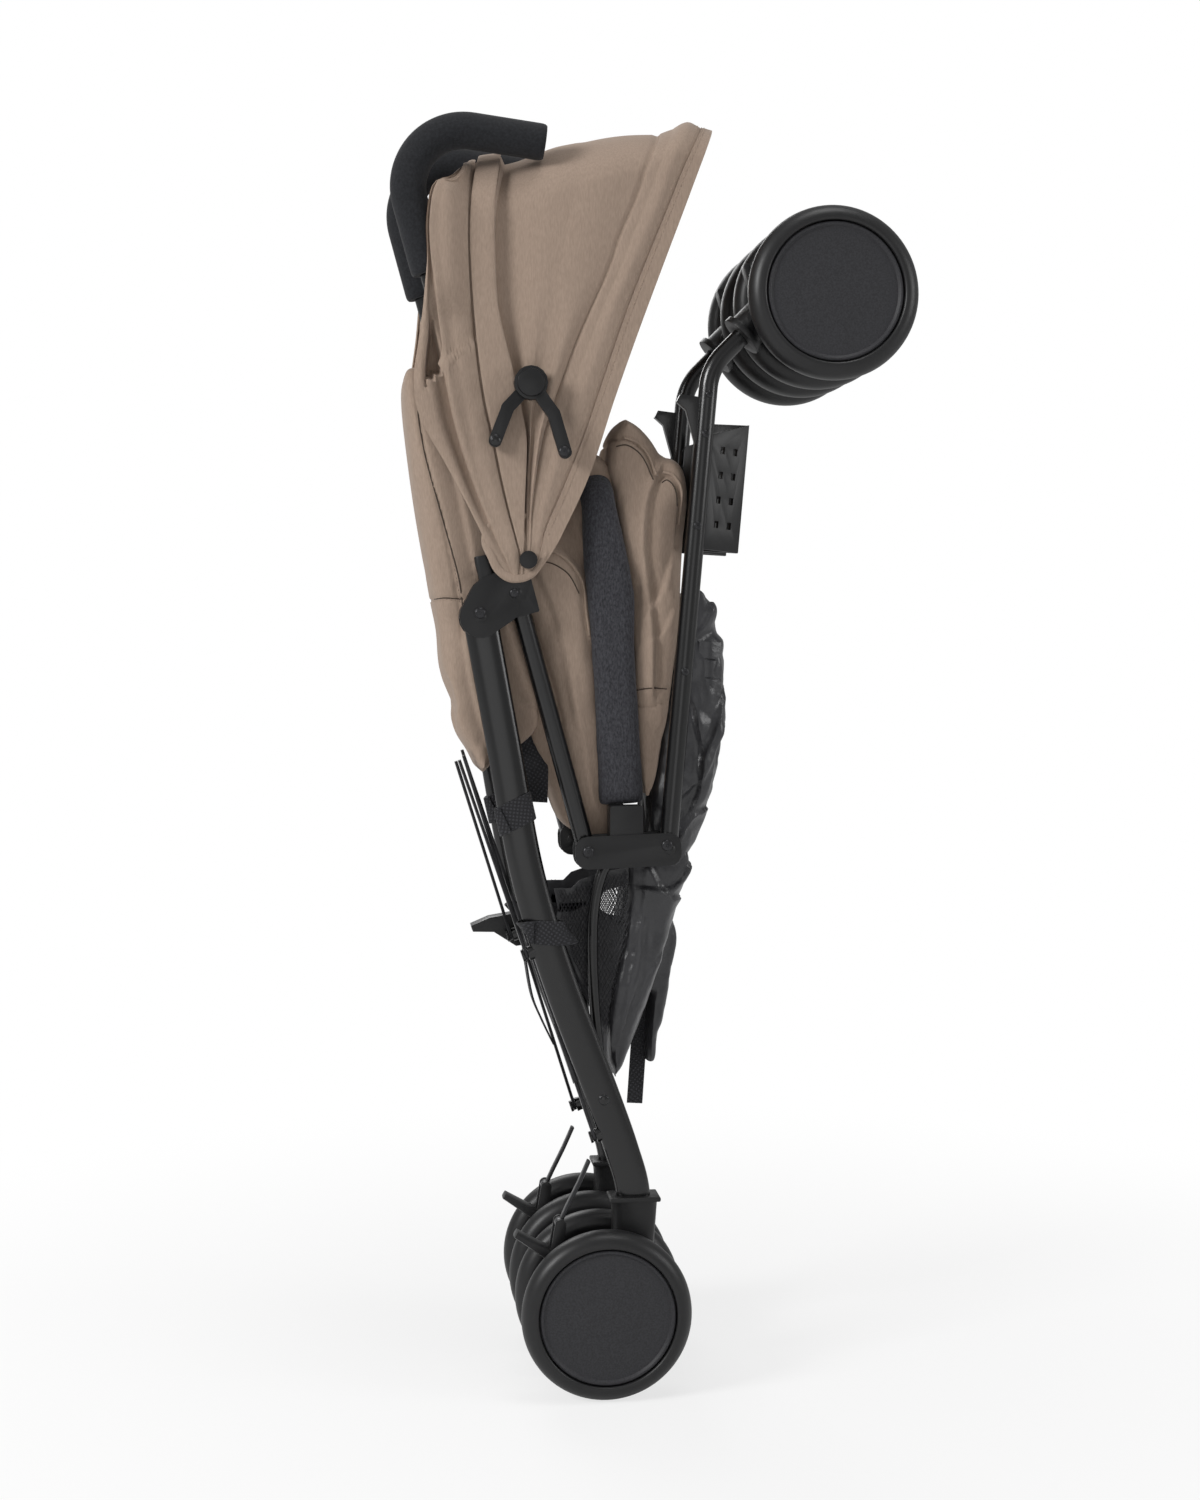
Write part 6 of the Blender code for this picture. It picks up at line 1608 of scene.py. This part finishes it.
class StrollerColours(bpy.types.PropertyGroup):
    taupe: colour_setting("Taupe cloth", "Canvas of the hood, backrest, seat and leg rest", "#9F8C7D")
    coat: colour_setting("Powder coat", "Tubes and legs of the frame", "#0C0C0D")
    plastic: colour_setting("Plastic", "Moulded elbows, housings, stays and footrest", "#141415")
    cap: colour_setting("Hub caps", "Pebbled discs on the outer wheels", "#2C2C2F")
    tyre: colour_setting("Tyres", "Moulded foam tyres", "#1C1C1D")
    foam: colour_setting("Grip foam", "Sleeves on the two handles", "#222326")
    sleeve: colour_setting("Bumper sleeve", "Jersey round the bumper bar", "#3A3A3E")
    nylon: colour_setting("Basket", "Thin nylon of the basket", "#29292C")
    webbing: colour_setting("Webbing", "Straps, loops and net", "#2A2A2D")
    steel: colour_setting("Flat steel", "Bars of the rear brace and the screws", "#2C2C2E")
    floor: colour_setting("Floor", "Studio floor", "#F4F4F4")


class StrollerSizes(bpy.types.PropertyGroup):
    cloth_thickness: size_setting("Hood cloth", "Thickness of the hood's canvas", 1.4, 0.4, 3.0)
    grip_diameter: size_setting("Grips", "Diameter of the foam grips", GRIP_DIA, 24.0, 36.0)
    piping_diameter: size_setting("Piping", "Diameter of the cord along the seat's edges", 2.6, 1.0, 5.0)
    webbing_thickness: size_setting("Webbing", "Thickness of the straps and loops", 1.6, 0.8, 3.0)
    net_cell: size_setting("Net", "Width of a cell of the basket's net", 3.2, 2.0, 8.0)
    studio_light: bpy.props.FloatProperty(name="Studio light",
                                          description="Strength of the white surroundings",
                                          default=0.22, min=0.0, max=3.0, subtype="FACTOR")


def colours():
    return bpy.context.scene.stroller_colours


def sizes():
    return bpy.context.scene.stroller_sizes


class STROLLER_OT_wheels(bpy.types.Operator):
    """Turn the eight wheels and their hub caps"""
    bl_idname = "stroller.wheels"
    bl_label = "Wheels"

    def execute(self, context):
        make_wheels(eva_tyre(colours().tyre), textured_cap(colours().cap))
        return {"FINISHED"}


class STROLLER_OT_tubes(bpy.types.Operator):
    """Add the smooth tubes and legs of the frame with their screws"""
    bl_idname = "stroller.tubes"
    bl_label = "Tubes and legs"

    def execute(self, context):
        coat = powder_coated_steel(colours().coat)
        steel = blackened_steel(colours().steel)
        make_rear_legs(coat, steel)
        make_front_legs(coat, steel)
        finish_nodes(both("handle_tube"), coat, "powder_coat")
        return {"FINISHED"}


class STROLLER_OT_fittings(bpy.types.Operator):
    """Finish the moulded fittings and flat bars whose shapes come from the frame"""
    bl_idname = "stroller.fittings"
    bl_label = "Fittings"

    def execute(self, context):
        nylon = moulded_nylon(colours().plastic)
        steel = blackened_steel(colours().steel)
        for stem in ("elbow", "rear_housing", "link_plate", "caster", "brake_pedal", "stay_rear",
                     "stay_front",
                     "footrest_outer", "footrest_inner"):
            finish_nodes(both(stem), nylon, "black_plastic")
        finish_nodes(["fold_pedal"], nylon, "black_plastic")
        for stem in ("x_arm", "x_link", "brake_strap"):
            finish_nodes(both(stem), steel, "steel_bar", 0.2)
        make_fittings(steel, nylon)
        return {"FINISHED"}


class STROLLER_OT_grips(bpy.types.Operator):
    """Pull the foam sleeves over the handles"""
    bl_idname = "stroller.grips"
    bl_label = "Handle grips"

    def execute(self, context):
        make_grips(grip_foam(colours().foam))
        return {"FINISHED"}


class STROLLER_OT_bumper(bpy.types.Operator):
    """Pull the jersey sleeve over the bumper bar"""
    bl_idname = "stroller.bumper"
    bl_label = "Bumper bar"

    def execute(self, context):
        make_bumper(melange_sleeve(colours().sleeve))
        return {"FINISHED"}


class STROLLER_OT_cushions(bpy.types.Operator):
    """Fill the backrest, seat and leg rest"""
    bl_idname = "stroller.cushions"
    bl_label = "Backrest, seat and leg rest"

    def execute(self, context):
        # A very dark copy of the taupe cloth for the seam cords: painted shade in the grooves of the seams
        seam_cord_shade = twill_polyester(shade(colours().taupe, 0.22), "seam_cord_painted_shade")
        make_cushions(twill_polyester(colours().taupe), seam_cord_shade)
        return {"FINISHED"}


class STROLLER_OT_basket(bpy.types.Operator):
    """Gather the basket's nylon between the legs"""
    bl_idname = "stroller.basket"
    bl_label = "Basket"

    def execute(self, context):
        make_basket(coated_nylon(colours().nylon), knitted_net(colours().webbing))
        return {"FINISHED"}


class STROLLER_OT_webbing(bpy.types.Operator):
    """Sew the webbing loops round the rear legs"""
    bl_idname = "stroller.webbing"
    bl_label = "Webbing"

    def execute(self, context):
        make_webbing(polypropylene_webbing(colours().webbing))
        return {"FINISHED"}


class STROLLER_OT_hood(bpy.types.Operator):
    """Sew the hood's cloth over its bows"""
    bl_idname = "stroller.hood"
    bl_label = "Hood"

    def execute(self, context):
        make_hood(twill_polyester(colours().taupe), blackened_steel(colours().steel))
        return {"FINISHED"}


class STROLLER_OT_stage(bpy.types.Operator):
    """Set the camera, the pale floor and the soft studio lights"""
    bl_idname = "stroller.stage"
    bl_label = "Studio"

    def execute(self, context):
        make_camera()
        make_floor(colours().floor)
        make_world(sizes().studio_light)
        make_lights()
        return {"FINISHED"}


class STROLLER_PT_panel(bpy.types.Panel):
    """Sizes, colours and pieces of the stroller"""
    bl_idname = "STROLLER_PT_panel"
    bl_label = "Stroller"
    bl_space_type = "VIEW_3D"
    bl_region_type = "UI"
    bl_category = "Stroller"

    def draw(self, context):
        for name in StrollerSizes.__annotations__:
            self.layout.prop(context.scene.stroller_sizes, name)
        for name in StrollerColours.__annotations__:
            self.layout.prop(context.scene.stroller_colours, name)
        for operator in OPERATORS:
            self.layout.operator(operator.bl_idname)


OPERATORS = (STROLLER_OT_wheels, STROLLER_OT_tubes, STROLLER_OT_fittings, STROLLER_OT_grips,
             STROLLER_OT_bumper,
             STROLLER_OT_cushions, STROLLER_OT_basket, STROLLER_OT_webbing, STROLLER_OT_hood,
             STROLLER_OT_stage)
CLASSES = (StrollerColours, StrollerSizes, *OPERATORS, STROLLER_PT_panel)


def register():
    for kind in CLASSES:
        bpy.utils.register_class(kind)
    bpy.types.Scene.stroller_colours = bpy.props.PointerProperty(type=StrollerColours)
    bpy.types.Scene.stroller_sizes = bpy.props.PointerProperty(type=StrollerSizes)


def unregister():
    del bpy.types.Scene.stroller_sizes
    del bpy.types.Scene.stroller_colours
    for kind in reversed(CLASSES):
        bpy.utils.unregister_class(kind)


def main():
    bpy.context.scene.view_settings.view_transform = "Standard"
    register()
    for operator in OPERATORS:
        group, name = operator.bl_idname.split(".")
        getattr(getattr(bpy.ops, group), name)()


if __name__ == "__main__":
    main()
